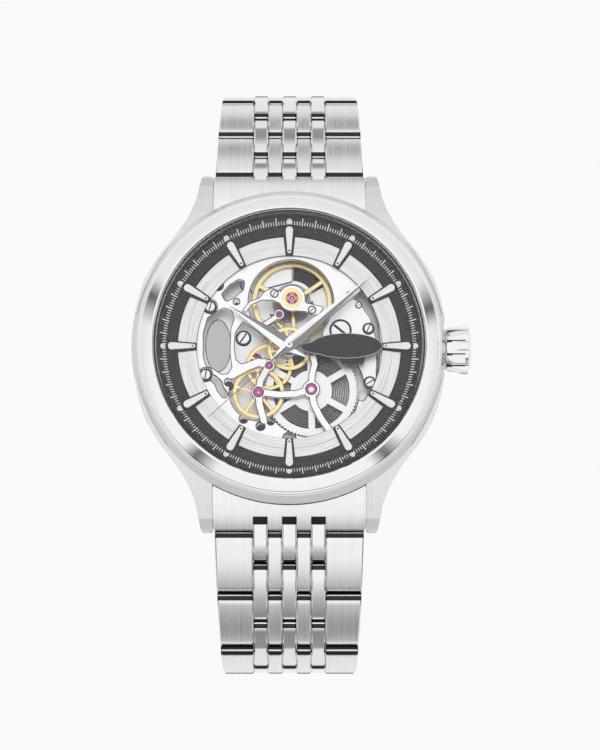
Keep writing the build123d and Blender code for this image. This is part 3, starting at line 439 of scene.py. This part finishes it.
def trackTree():
    # marks set round a circle on the slope: bars, or discs where Round is on
    tree = bpy.data.node_groups.new("minuteTrack", "GeometryNodeTree")
    for label, kind, value in (("Count", "NodeSocketInt", 300), ("Radius", "NodeSocketFloat", 0.0163),
                               ("Length", "NodeSocketFloat", 0.0004), ("Width", "NodeSocketFloat", 0.00008),
                               ("Height", "NodeSocketFloat", 0.04), ("Slope", "NodeSocketFloat", 1.0),
                               ("Skip Every", "NodeSocketInt", 5), ("Round", "NodeSocketBool", False),
                               ("Ink", "NodeSocketMaterial", None)):
        made = tree.interface.new_socket(name=label, in_out="INPUT", socket_type=kind)
        if value is not None:
            made.default_value = value
    tree.interface.new_socket(name="Geometry", in_out="OUTPUT", socket_type="NodeSocketGeometry")
    start = tree.nodes.new("NodeGroupInput")
    end = tree.nodes.new("NodeGroupOutput")

    def add(kind, **values):
        node = tree.nodes.new(kind)
        for key, value in values.items():
            setattr(node, key, value)
        return node

    def link(a, b):
        tree.links.new(a, b)

    points = add("GeometryNodePoints")
    link(start.outputs["Count"], points.inputs["Count"])
    index = add("GeometryNodeInputIndex")
    step = add("ShaderNodeMath", operation="DIVIDE")
    step.inputs[0].default_value = 2 * math.pi
    link(start.outputs["Count"], step.inputs[1])
    angle = add("ShaderNodeMath", operation="MULTIPLY")
    link(index.outputs[0], angle.inputs[0])
    link(step.outputs[0], angle.inputs[1])
    sine = add("ShaderNodeMath", operation="SINE")
    cosine = add("ShaderNodeMath", operation="COSINE")
    link(angle.outputs[0], sine.inputs[0])
    link(angle.outputs[0], cosine.inputs[0])
    across = add("ShaderNodeMath", operation="MULTIPLY")
    upward = add("ShaderNodeMath", operation="MULTIPLY")
    link(sine.outputs[0], across.inputs[0])
    link(start.outputs["Radius"], across.inputs[1])
    link(cosine.outputs[0], upward.inputs[0])
    link(start.outputs["Radius"], upward.inputs[1])
    place = add("ShaderNodeCombineXYZ")
    link(across.outputs[0], place.inputs[0])
    link(upward.outputs[0], place.inputs[1])
    link(start.outputs["Height"], place.inputs[2])
    link(place.outputs[0], points.inputs["Position"])
    remainder = add("ShaderNodeMath", operation="MODULO")
    link(index.outputs[0], remainder.inputs[0])
    link(start.outputs["Skip Every"], remainder.inputs[1])
    onMark = add("ShaderNodeMath", operation="LESS_THAN")
    link(remainder.outputs[0], onMark.inputs[0])
    onMark.inputs[1].default_value = 0.5
    offMark = add("FunctionNodeBooleanMath", operation="NOT")
    link(onMark.outputs[0], offMark.inputs[0])
    wanted = add("FunctionNodeBooleanMath", operation="OR")
    link(offMark.outputs[0], wanted.inputs[0])
    link(start.outputs["Round"], wanted.inputs[1])
    bar = add("GeometryNodeMeshCube")
    barSize = add("ShaderNodeCombineXYZ")
    link(start.outputs["Width"], barSize.inputs[0])
    link(start.outputs["Length"], barSize.inputs[1])
    barSize.inputs[2].default_value = 0.03 * mm
    link(barSize.outputs[0], bar.inputs["Size"])
    dot = add("GeometryNodeMeshCylinder")
    dot.inputs["Vertices"].default_value = 32
    link(start.outputs["Length"], dot.inputs["Radius"])
    dot.inputs["Depth"].default_value = 0.06 * mm
    either = add("GeometryNodeSwitch", input_type="GEOMETRY")
    link(start.outputs["Round"], either.inputs["Switch"])
    link(bar.outputs["Mesh"], either.inputs["False"])
    link(dot.outputs["Mesh"], either.inputs["True"])
    flip = add("ShaderNodeMath", operation="MULTIPLY")
    flip.inputs[1].default_value = -1.0
    link(angle.outputs[0], flip.inputs[0])
    turn = add("ShaderNodeCombineXYZ")
    link(flip.outputs[0], turn.inputs[2])
    tilt = add("ShaderNodeCombineXYZ")
    link(start.outputs["Slope"], tilt.inputs[0])
    stretch = add("ShaderNodeCombineXYZ")
    stretch.inputs[0].default_value = 1.0
    stretch.inputs[2].default_value = 1.0
    cosSlope = add("ShaderNodeMath", operation="COSINE")
    link(start.outputs["Slope"], cosSlope.inputs[0])
    longer = add("ShaderNodeMath", operation="DIVIDE")
    longer.inputs[0].default_value = 1.0
    link(cosSlope.outputs[0], longer.inputs[1])
    link(longer.outputs[0], stretch.inputs[1])
    tilted = add("GeometryNodeTransform")
    spread = add("GeometryNodeTransform")
    link(either.outputs[0], spread.inputs["Geometry"])
    link(stretch.outputs[0], spread.inputs["Scale"])
    link(spread.outputs[0], tilted.inputs["Geometry"])
    link(tilt.outputs[0], tilted.inputs["Rotation"])
    placed = add("GeometryNodeInstanceOnPoints")
    link(points.outputs[0], placed.inputs["Points"])
    link(wanted.outputs[0], placed.inputs["Selection"])
    link(tilted.outputs[0], placed.inputs["Instance"])
    link(turn.outputs[0], placed.inputs["Rotation"])
    real = add("GeometryNodeRealizeInstances")
    link(placed.outputs[0], real.inputs[0])
    inked = add("GeometryNodeSetMaterial")
    link(real.outputs[0], inked.inputs["Geometry"])
    link(start.outputs["Ink"], inked.inputs["Material"])
    link(inked.outputs[0], end.inputs[0])
    return tree


trackMaker = trackTree()


def fromNodes(name, tree, values):
    # runs a node tree once and gives back its plain mesh
    carrier = bpy.data.objects.new(name + "Carrier", bpy.data.meshes.new(name + "Base"))
    bpy.context.scene.collection.objects.link(carrier)
    modifier = carrier.modifiers.new("made", "NODES")
    modifier.node_group = tree
    for item in tree.interface.items_tree:
        if item.item_type == "SOCKET" and item.in_out == "INPUT" and item.name in values:
            modifier[item.identifier] = values[item.name]
    graph = bpy.context.evaluated_depsgraph_get()
    mesh = bpy.data.meshes.new_from_object(carrier.evaluated_get(graph), depsgraph=graph)
    carrier.modifiers.remove(modifier)
    bpy.data.objects.remove(carrier)
    mesh.name = name
    return mesh


flangeSlope = math.atan2(flange["top"][1] - flange["foot"][1], flange["top"][0] - flange["foot"][0])
inkLift = 0.02  # mm, how far the middle of a printed mark stands over the slope


def slopeHeight(r):
    return headLift + (flange["foot"][1] + (r - flange["foot"][0]) * math.tan(flangeSlope) + inkLift) * mm


# how many marks, their radius, length and width; a dot's length is its radius
track = {"trackFine": (300, 16.24, 0.44, 0.10), "trackMinutes": (60, 16.40, 0.88, 0.13),
         "trackDots": (12, 16.42, 0.33, 0.10)}
for label, (count, r, length, width) in track.items():
    ink = fromNodes(label, trackMaker, {
        "Count": count, "Radius": r * mm, "Length": length * mm, "Width": width * mm,
        "Height": slopeHeight(r), "Slope": flangeSlope, "Round": label == "trackDots",
        "Ink": finishes["print"]})
    keep(label, ink, body="head")
print("printed track done")


markerForm = {"inner": 12.2, "wideAt": 15.28, "halfIn": 0.25, "halfOut": 0.475, "low": 6.52, "side": 6.98,
              "rise": 0.16, "bevel": 0.15, "dotAt": 12.55, "dot": 0.13, "dotLift": 0.005}
work = bmesh.new()
dots = bmesh.new()
turns = [math.pi * k / 8 for k in range(9)]
rounded = [(markerForm["halfIn"] * math.cos(a),
            markerForm["inner"] + markerForm["halfIn"] * (1 - math.sin(a))) for a in turns]
rounded += [(-markerForm["halfOut"] * math.cos(a),
             markerForm["wideAt"] + markerForm["halfOut"] * math.sin(a)) for a in turns]
for i in range(12):
    outline = flatPoints([around(r, i * 30, aside, 0) for aside, r in rounded])[::-1]
    prismInto(work, outline, markerForm["low"], markerForm["side"], markerForm["rise"], markerForm["bevel"])
    spot = around(markerForm["dotAt"], i * 30, 0,
                  markerForm["side"] + markerForm["rise"] + markerForm["dotLift"])
    bmesh.ops.create_circle(dots, cap_ends=True, radius=markerForm["dot"] * mm, segments=16,
                            matrix=Matrix.Translation(spot))
bmesh.ops.recalc_face_normals(work, faces=work.faces)
keep("hourMarkers", smoothed(meshFrom(work, "markers"), 25), ("hour_markers",),
     materials=[finishes["markerTop"]])
keep("markerDots", meshFrom(dots, "markerDots"), body="head", materials=[finishes["rubber"]])

# each hand has two facets, one painted lit and one in painted shade, as light falls on them; its pipe is
# inner radius, outer radius, foot
handForms = {
    "hour_hand": {"turn": 303.6, "reach": 9.3, "tail": 3.0, "half": 0.9, "z": 7.3, "pipe": (0.48, 0.78, 5.9)},
    "minute_hand": {"turn": 49.4, "reach": 13.75, "tail": 3.2, "half": 0.875, "z": 7.72,
                    "pipe": (0.2, 0.43, 5.0)},
}
# slot 1 holds the painted shade, for the shaded facet, the sides and the underside
bright, dark = 0, 1  # the two material slots of a hand


def handMesh(form):
    half, reach, tail = form["half"], form["reach"], form["tail"]
    work = bmesh.new()
    edge = [(0.02, -tail), (half, 0.3), (half, 1.2), (0.05, reach)]
    spine = [(-tail, 0.1), (0.3, 0.28), (1.2, 0.28), (reach, 0.12)]

    def put(aside, along, height):
        return work.verts.new(around(along, form["turn"], aside, form["z"] + height))

    for side in (1, -1):
        low = [put(side * x, y, 0.0) for x, y in edge]
        rim = [put(side * x, y, 0.1) for x, y in edge]
        ridge = [put(0, y, h) for y, h in spine]
        middle = [put(0, y, 0.0) for y, h in spine]
        for k in range(3):
            top = bright if side < 0 else dark
            for a, b, look in ((rim, ridge, top), (low, rim, dark), (middle, low, dark)):
                face = work.faces.new([a[k], a[k + 1], b[k + 1], b[k]])
                face.material_index = look
        for end in (0, 3):
            work.faces.new([low[end], rim[end], ridge[end], middle[end]]).material_index = dark
    bmesh.ops.remove_doubles(work, verts=work.verts, dist=1e-8)
    bmesh.ops.recalc_face_normals(work, faces=work.faces)
    inner, outer, start = form["pipe"]
    top = form["z"] + 0.02
    pipe = lathe("handPipe", [(inner, start), (outer, start), (outer, top), (inner, top)], 48)
    return joinedMesh("hand", [meshFrom(work, "handBody"), pipe])


handLooks = [finishes["handBright"], finishes["handPaintedShade"]]
for node, form in handForms.items():
    keep(node.split("_")[0] + "Lance", handMesh(form), (node,), materials=handLooks)
pin = lathe("centrePin", [(0, 8.421), (0.14, 8.421), (0.14, 8.43), (0, 8.43)], 24)
keep("centrePin", pin, body="seconds_body", materials=[finishes["rubber"]])
sweep = mergedCopy("seconds_hand")
heading = math.radians(227.7)  # where the seconds hand points, clockwise from 12
# the pointer side gets the painted shade finish, the tail the painted lit one
for face in sweep.polygons:
    along = (face.center.x * math.sin(heading) + face.center.y * math.cos(heading)) / mm
    face.material_index = dark if along > 0.45 else bright
keep("secondsSweep", sweep, ("seconds_hand",), materials=handLooks)
print("markers and hands done")


# bracelet plates have a slightly domed face and broken edges; slopes are each row's, in degrees
bracelet = {"pivot": (22.45, 0.65), "reach": 3.15, "pitch": 4.5, "tail": 0.9, "radius": 1.3, "sag": 0.24,
            "slopes": {12: (42, 43, 45, 50, 62, 78, 102, 129, 149, 162, 172),
                       6: (33, 34, 40, 48, 57, 78, 94, 114, 138, 160, 172)},
            "polished": ((-0.915, 0.915), (2.875, 4.705)), "narrow": (0.965, 2.825), "wideFrom": 4.755,
            "wide": (4.97, 4.72, 4.35, 3.95, 3.60, 3.35), "broken": 0.16, "pin": 0.45,
            "pinInside": 1.4}


def pieceName(node):
    return node.replace("_", " ").title().replace(" ", "")


def pinChain(side):
    points = [bracelet["pivot"]]
    for i, slope in enumerate(bracelet["slopes"][side]):
        reach = bracelet["reach"] if i == 0 else bracelet["pitch"]
        y, z = points[-1]
        points.append((y + reach * math.cos(math.radians(slope)), z - reach * math.sin(math.radians(slope))))
    return points


def plateProfile(half, inset):
    # one plate seen from the side: flat underneath, domed above, round at both ends
    radius, sag = bracelet["radius"], bracelet["sag"]
    lean = math.atan(2 * sag / half)
    points = []
    for k in range(13):
        u = -half + 2 * half * k / 12
        points.append((u, radius - sag * (u / half) ** 2))
    for k in range(1, 10):
        a = lean + (math.pi / 2 - lean) * k / 9
        share = (math.sin(a) - math.sin(lean)) / (1 - math.sin(lean))
        points.append((half + radius * share, (radius - sag) * math.cos(a) / math.cos(lean)))
    for k in range(1, 9):
        a = math.pi / 2 * k / 8
        points.append((half + radius * math.cos(a), -radius * math.sin(a)))
    points += [(-u, n) for u, n in reversed(points[13:])]
    long = (half + radius - inset) / (half + radius)
    high = (radius - inset) / radius
    return [(u * long, n * high) for u, n in points]


def plateInto(work, a, b, ends, x0, x1, way, narrowing=0.0):
    # one plate from pin a to pin b, running on past them by ends; narrowing tapers its x1 side
    uy, uz = (b[0] - a[0]) / math.dist(a, b), (b[1] - a[1]) / math.dist(a, b)
    half = (math.dist(a, b) + sum(ends)) / 2
    centre = (a[0] + uy * (half - ends[0]), a[1] + uz * (half - ends[0]))
    c = bracelet["broken"]
    loops = []
    for x, inset in ((x0, c), (x0 + c, 0.0), (x1 - c, 0.0), (x1, c)):
        loop = []
        for u, n in plateProfile(half, inset):
            move = narrowing * (u + 5) / 10 if x > (x0 + x1) / 2 else 0.0
            y = centre[0] + u * uy - n * uz
            z = centre[1] + u * uz + n * uy
            loop.append(work.verts.new(((x + move) * mm, way * y * mm, headLift + z * mm)))
        loops.append(loop)
    count = len(loops[0])
    made = []
    for one, two in zip(loops, loops[1:]):
        for i in range(count):
            j = (i + 1) % count
            side = work.faces.new([one[i], one[j], two[j], two[i]])
            made.append(side)
            # the two round ends get painted shade, with one light line left in the plate's own steel
            if 16 <= i < 23 or count - 10 <= i < count - 3:
                side.material_index = 0 if i in (19, count - 7) else 1
    made += [work.faces.new(loops[0]), work.faces.new(loops[-1][::-1])]
    return [v for loop in loops for v in loop] + made


def rodInto(work, x0, x1, y, z, r, steps=20):
    turns = [2 * math.pi * i / steps for i in range(steps)]
    ends = [[work.verts.new((x * mm, (y + r * math.cos(a)) * mm, headLift + (z + r * math.sin(a)) * mm))
             for a in turns] for x in (x0, x1)]
    for i in range(steps):
        work.faces.new([ends[0][i], ends[0][(i + 1) % steps], ends[1][(i + 1) % steps], ends[1][i]])
    work.faces.new(ends[0])
    work.faces.new(ends[1][::-1])


for side, way in ((12, 1), (6, -1)):
    pins = pinChain(side)
    for k in range(11):
        a, b = pins[k], pins[k + 1]
        ends = (0.0 if k == 0 else bracelet["tail"], bracelet["tail"])
        work = bmesh.new()
        if k % 2 == 0:
            node, finish = "link_%d_polished_%d" % (side, k // 2 + 1), "polished"
            for x0, x1 in bracelet["polished"]:
                plateInto(work, a, b, ends, x0, x1, way)
                if x0 > 0:
                    plateInto(work, a, b, ends, -x1, -x0, way)
        else:
            node, finish = "link_%d_brushed_%d" % (side, k // 2 + 1), "brushed"
            x0, x1 = bracelet["narrow"]
            plateInto(work, a, b, ends, x0, x1, way)
            plateInto(work, a, b, ends, -x1, -x0, way)
            x0 = bracelet["wideFrom"]
            w0, w1 = bracelet["wide"][k // 2], bracelet["wide"][k // 2 + 1]
            right = plateInto(work, a, b, ends, x0, x0 + w0, way, w1 - w0)
            left = bmesh.ops.duplicate(work, geom=right)["geom"]
            corners = [g for g in left if isinstance(g, bmesh.types.BMVert)]
            bmesh.ops.scale(work, verts=corners, vec=(-1, 1, 1))
            for y, z in (a, b):
                reach = x0 + bracelet["pinInside"]
                rodInto(work, -reach, reach, way * y, z, bracelet["pin"])
        bmesh.ops.recalc_face_normals(work, faces=work.faces)
        keep(pieceName(node), smoothed(meshFrom(work, node), 28), (node,),
             materials=[finishes[finish], finishes["gap"]])

# the end links' tops shade as one bend, which starts at "from" mm and grows by "bend" per mm
endForm = {"from": 17.5, "flat": 0.04, "bend": 0.165}
mesh = mergedCopy("end_links")
normals = []
for face in mesh.polygons:
    domed = face.normal.z > 0.45 and abs(face.normal.x) < 0.3
    for i in face.vertices:
        y = mesh.vertices[i].co.y / mm
        lean = endForm["flat"] + endForm["bend"] * max(abs(y) - endForm["from"], 0.0)
        normals.append(Vector((0, math.copysign(lean, y), 1)).normalized() if domed else face.normal.copy())
mesh.normals_split_custom_set(normals)
keep("endLinks", mesh, ("end_links",), materials=[finishes["brushed"]])
# painted shadow sheets over the clearance round the tongues of the first row: height over the back at its two
# edges along Y
notch = {12: (22.02, 3.05, 22.32, 2.68), 6: (21.86, 3.31, 22.72, 2.09), "side": 0.05, "lift": 0.03}
(c0, c1), (s0, s1) = bracelet["polished"]
work = bmesh.new()
for side, way in ((12, 1), (6, -1)):
    y0, z0, y1, z1 = notch[side]
    for x0, x1 in ((-s1, -s0), (c0, c1), (s0, s1)):
        x0, x1 = x0 - notch["side"], x1 + notch["side"]
        corners = [work.verts.new((x * mm, way * y * mm, headLift + (z + notch["lift"]) * mm))
                   for x, y, z in ((x0, y0, z0), (x1, y0, z0), (x1, y1, z1), (x0, y1, z1))]
        faceTowards(work.faces.new(corners), Vector((0, 0, 1)))
keep("tongueShadowSheet", meshFrom(work, "tongueShadowSheet"), body="head",
     materials=[finishes["gap"]])
print("bracelet done")

# a narrow line of painted shade along every rim of the flat plates and wheels, for their bevels in shade; on
# the plaque a lighter painted reflection: the height of the top, and the width
edgeWork = {"front_plate": (5.85, 0.10), "balance_bridge": (6.37, 0.09), "train_bridge": (4.95, 0.09),
            "back_plate": (2.2, 0.10), "barrel": (4.28, 0.05), "dial_plaque": (7.17, 0.07),
            "escape_wheel": (None, 0.03), "second_wheel": (None, 0.04), "third_wheel": (None, 0.04),
            "fourth_wheel": (None, 0.04), "balance_wheel": (None, 0.05), "pallet_fork": (None, 0.04)}
edgeTone = {"dial_plaque": "plaqueRimPaintedReflection", "second_wheel": "giltEdgePaintedShade", "third_wheel": "giltEdgePaintedShade",
            "fourth_wheel": "giltEdgePaintedShade", "balance_wheel": "giltEdgePaintedShade"}
edgeLift = 0.006  # mm, how far the line stands over the top


def edgeRibbon(node, level, width):
    # a strip laid just inside every edge of the node's flat top
    source = bmesh.new()
    source.from_mesh(nodes[node].data)
    bmesh.ops.remove_doubles(source, verts=source.verts, dist=2e-7)
    tops = [f for f in source.faces if f.normal.z > 0.999]
    if level is None:  # the height that most of the top lies at
        spread = {}
        for f in tops:
            at = round(f.calc_center_median().z / mm, 2)
            spread[at] = spread.get(at, 0) + f.calc_area()
        height = max(spread, key=spread.get) * mm
    else:
        height = headLift + level * mm
    chosen = set(f for f in tops if abs(f.calc_center_median().z - height) < 0.02 * mm)
    inward = {}
    rims = []
    for e in source.edges:
        mine = [f for f in e.link_faces if f in chosen]
        if len(mine) != 1 or len(e.link_faces) < 2:
            continue
        a, b = e.verts
        along = (b.co - a.co).normalized()
        toward = Vector((-along.y, along.x, 0))
        if toward.dot(mine[0].calc_center_median() - a.co) < 0:
            toward = -toward
        rims.append((a, b))
        for v in (a, b):
            inward.setdefault(v, []).append(toward)
    ribbon = bmesh.new()
    made = {}
    for v, ways in inward.items():
        total = sum(ways, Vector((0, 0, 0)))
        if total.length < 0.3:  # a corner that folds back on itself
            total = ways[0].copy()
        step = total.normalized() * width * mm / max(total.length / len(ways), 0.5)
        lift = Vector((0, 0, height + edgeLift * mm))
        flat = Vector((v.co.x, v.co.y, 0))
        made[v] = (ribbon.verts.new(flat + lift), ribbon.verts.new(flat + step + lift))
    for a, b in rims:
        face = ribbon.faces.new([made[a][0], made[b][0], made[b][1], made[a][1]])
        faceTowards(face, Vector((0, 0, 1)))
    source.free()
    return meshFrom(ribbon, node + "Edge")


for node, (level, width) in edgeWork.items():
    keep(pieceName(node) + "Edge", edgeRibbon(node, level, width),
         body=bodyOf[node], materials=[finishes[edgeTone.get(node, "edge")]])
print("edges done")

# painted shade on the floors of the crown's flutes
crown = {"axis": 3.9, "from": 20.45, "to": 22.9, "floor": 2.87, "half": 0.15, "count": 10, "first": 3.5}
work = bmesh.new()
for i in range(crown["count"]):
    a = math.radians(crown["first"] + i * 360 / crown["count"])
    outwards = Vector((0, math.cos(a), math.sin(a)))
    aside = Vector((0, -math.sin(a), math.cos(a)))
    middle = Vector((0, 0, headLift + crown["axis"] * mm)) + outwards * crown["floor"] * mm
    corners = [middle + aside * s * crown["half"] * mm + Vector((x * mm, 0, 0))
               for x, s in ((crown["from"], -1), (crown["to"], -1), (crown["to"], 1), (crown["from"], 1))]
    faceTowards(work.faces.new([work.verts.new(c) for c in corners]), outwards)
keep("crownFluteShade", meshFrom(work, "crownFluteShade"), body=bodyOf["crown"],
     materials=[finishes["edge"]])

# gold setting over the balance jewel, and its clip of four bars
shock = {"at": (0.35, 6.40), "inner": 0.82, "outer": 1.3, "low": 6.36, "top": 6.46, "shelf": 0.2,
         "clipReach": 0.8, "clipAside": 0.36, "clipHalf": 0.035, "clip": (6.42, 6.47)}
ring = lathe("shockRing", [(shock["inner"], shock["low"]), (shock["outer"], shock["low"]),
                           (shock["outer"], shock["top"] - 0.03), (shock["outer"] - 0.05, shock["top"]),
                           (shock["inner"] + shock["shelf"], shock["top"]),
                           (shock["inner"], shock["top"] - 0.06)], 64)
ring.transform(Matrix.Translation((shock["at"][0] * mm, shock["at"][1] * mm, 0)))
keep("shockSetting", smoothed(ring, 25), body="head", materials=[finishes["gilt"]])


def turnedBar(x, y, turn, long, low, high):
    # the corners of a flat bar centred on x, y and turned, in mm
    a = math.radians(turn)
    return [(x + u * math.cos(a) - v * math.sin(a), y + u * math.sin(a) + v * math.cos(a))
            for u, v in ((-long, low), (long, low), (long, high), (-long, high))]


clip = bmesh.new()
for turn in (45, 135):
    for aside in (-shock["clipAside"], shock["clipAside"]):
        low, high = aside - shock["clipHalf"], aside + shock["clipHalf"]
        bar = turnedBar(*shock["at"], turn, shock["clipReach"], low, high)
        prismInto(clip, bar, *shock["clip"])
keep("shockClip", meshFrom(clip, "shockClip"), body="head", materials=[finishes["gilt"]])
print("shock setting done")

# painted shade in the countersinks, screw slots, holes and deep corners of the movement, and a painted shadow
# behind the balance
# a screw is x, y, radius, top, turn of its slot, height of the plate round it; a hole is x, y, radius
deep = {
    "screws": ((-10.3, 5.37, 0.58, 5.95, 75, 5.56), (-10.87, -3.58, 0.58, 5.95, 80, 5.56),
               (-1.95, 7.0, 0.4, 6.42, 60, 6.37), (2.95, 4.85, 0.4, 6.42, 35, 6.37),
               (9.03, 5.72, 0.31, 5.05, 20, 4.95), (6.66, 2.4, 1.17, 5.02, -40, 4.95),
               (10.45, -4.5, 0.55, 5.45, 30, 4.96), (10.3, 2.6, 0.5, 5.4, 65, 4.96),
               (-6.0, 1.77, 0.75, 2.75, 55, 2.2), (-9.3, 8.2, 0.37, 5.9, 10, 5.56),
               (9.9, 8.0, 0.37, 5.9, 40, 5.56)),
    "ring": 0.3, "smallRing": 0.165, "lift": 0.012, "slotLong": 0.97, "slotHalf": 0.14, "slotDeep": 0.1,
    "holes": ((-5.9, -9.9, 0.5), (-3.65, -10.76, 0.55), (-2.5, -10.2, 0.45), (-7.85, -5.0, 0.5),
              (-6.8, 5.45, 0.42)),
    "holeRim": 0.12, "holeLevel": 5.22,
    "sector": {"inner": 3.0, "outer": 4.7, "height": 2.215, "first": 2, "last": 62},
}
work = bmesh.new()


def flatRing(x, y, inner, outer, height, first=0, last=360, steps=40):
    rows = []
    for i in range(steps + 1):
        a = math.radians(first + (last - first) * i / steps)
        rows.append([work.verts.new(((x + r * math.sin(a)) * mm, (y + r * math.cos(a)) * mm,
                                     headLift + height * mm)) for r in (inner, outer)])
    for one, two in zip(rows, rows[1:]):
        work.faces.new([two[0], two[1], one[1], one[0]])


for x, y, r, top, turn, level in deep["screws"]:
    small = level > 6 or r < 0.35
    flatRing(x, y, r + 0.01, r + (deep["smallRing"] if small else deep["ring"]), level + deep["lift"])
    slot = turnedBar(x, y, turn, r * deep["slotLong"], -r * deep["slotHalf"], r * deep["slotHalf"])
    floor = headLift + (top - deep["slotDeep"]) * mm
    work.faces.new([work.verts.new((u * mm, v * mm, floor)) for u, v in slot])
for x, y, r in deep["holes"]:
    flatRing(x, y, 0.0, r + deep["holeRim"], deep["holeLevel"])
flatRing(*shock["at"], **deep["sector"])
for face in work.faces:
    faceTowards(face, Vector((0, 0, 1)))
keep("movementPaintedShade", meshFrom(work, "movementPaintedShade"), body="head", materials=[finishes["edge"]])
nodes["caseback_crystal"].data.materials[0] = finishes["smoked"]
print("deep corners done")

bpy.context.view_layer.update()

stage = {"floor": 0.955, "floorSize": 6, "sky": 1.12, "wallGlow": 1.22, "wall": 0.11, "wallTop": 0.13,
         "streaks": (225 - 360, 297 - 360, 68, 134), "streakDark": 0.10, "streakLight": 0.9}


def glow(name, strength):
    made = bpy.data.materials.new(name)
    made.use_nodes = True
    shader = made.node_tree.nodes["Principled BSDF"]
    shader.inputs["Base Color"].default_value = (0, 0, 0, 1)
    shader.inputs["Roughness"].default_value = 1.0
    shader.inputs["Specular IOR Level"].default_value = 0.0
    shader.inputs["Emission Color"].default_value = (1, 1, 1, 1)
    shader.inputs["Emission Strength"].default_value = strength
    return made


bpy.ops.mesh.primitive_plane_add(size=stage["floorSize"], location=(0, 0, cadBox[0].z))
floor = bpy.context.object
floor.name = "floor"
floor.data.materials.append(glow("floorPaint", stage["floor"]))

# a glowing wall that only reflections see, so the steel has something to mirror
bpy.ops.mesh.primitive_cylinder_add(vertices=128, radius=stage["wall"], depth=stage["wallTop"],
                                    end_fill_type="NOTHING",
                                    location=(0, 0, cadBox[0].z + stage["wallTop"] / 2))
wall = bpy.context.object
wall.name = "surround"
paint = glow("surroundPaint", stage["wallGlow"])
tree = paint.node_tree
parts = tree.nodes.new("ShaderNodeSeparateXYZ")
tree.links.new(objectPlace(tree), parts.inputs[0])


def rampNode(tree, source, low, high, stops):
    spread = tree.nodes.new("ShaderNodeMapRange")
    spread.inputs["From Min"].default_value = low
    spread.inputs["From Max"].default_value = high
    tree.links.new(source, spread.inputs["Value"])
    ramp = tree.nodes.new("ShaderNodeValToRGB")
    while len(ramp.color_ramp.elements) < len(stops):
        ramp.color_ramp.elements.new(0.5)
    for element, (at, value) in zip(ramp.color_ramp.elements, stops):
        element.position = at
        element.color = (value, value, value, 1)
    tree.links.new(spread.outputs["Result"], ramp.inputs["Fac"])
    return ramp.outputs["Color"]


# brightness up the wall on the 12 side (+Y) and the 6 side (-Y), then dark streaks round it
half = stage["wallTop"] / 2
up12 = rampNode(tree, parts.outputs[2], -half, half, ((0.0, 0.35), (0.15, 0.3), (0.26, 0.85), (1.0, 1.0)))
up6 = rampNode(tree, parts.outputs[2], -half, half, ((0.0, 0.32), (0.2, 0.28), (0.38, 0.5), (0.6, 1.0)))
sideways = rampNode(tree, parts.outputs[1], -stage["wall"], stage["wall"], ((0.35, 0.0), (0.65, 1.0)))
upright = tree.nodes.new("ShaderNodeMix")
upright.data_type = "RGBA"
tree.links.new(sideways, upright.inputs["Factor"])
tree.links.new(up6, upright.inputs["A"])
tree.links.new(up12, upright.inputs["B"])
bearing = mathNode(tree, "ARCTAN2", parts.outputs[0], parts.outputs[1])
stops = []
for at in stage["streaks"]:  # clock degrees; each streak is dark in its middle
    stops += [((at - 11) / 360 + 0.5, stage["streakLight"]), (at / 360 + 0.5, stage["streakDark"]),
              ((at + 7) / 360 + 0.5, stage["streakLight"])]
streaks = rampNode(tree, bearing, -math.pi, math.pi, stops)
shaded = tree.nodes.new("ShaderNodeMix")
shaded.data_type = "RGBA"
shaded.blend_type = "MULTIPLY"
shaded.inputs["Factor"].default_value = 1.0
tree.links.new(upright.outputs["Result"], shaded.inputs["A"])
tree.links.new(streaks, shaded.inputs["B"])
tree.links.new(shaded.outputs["Result"], tree.nodes["Principled BSDF"].inputs["Emission Color"])
wall.data.materials.append(paint)
wall.visible_camera = False

world = bpy.data.worlds.new("studio")
bpy.context.scene.world = world
world.use_nodes = True
world.node_tree.nodes["Background"].inputs["Color"].default_value = (1, 1, 1, 1)
world.node_tree.nodes["Background"].inputs["Strength"].default_value = stage["sky"]

# the camera looks straight down, leaned towards 6, and stands a little aside and low
view = {"lean": 9.0, "away": 0.70, "lens": 259.5, "aim": 8.5, "aside": 1.386, "low": 4.01}
lean = math.radians(view["lean"])
out = Vector((0, -math.sin(lean), math.cos(lean)))
up = Vector((0, math.cos(lean), math.sin(lean)))
aim = Vector((view["aside"] * mm, 0, headLift + view["aim"] * mm))
camera = bpy.data.objects.new("camera", bpy.data.cameras.new("camera"))
bpy.context.scene.collection.objects.link(camera)
camera.data.lens = view["lens"]
camera.data.sensor_width = 36
camera.data.clip_start = 0.01
camera.location = aim + out * view["away"] - up * view["low"] * mm
camera.rotation_euler = out.to_track_quat("Z", "Y").to_euler()
bpy.context.scene.camera = camera
bpy.context.scene.view_settings.view_transform = "Standard"
print("floor, light and camera done")
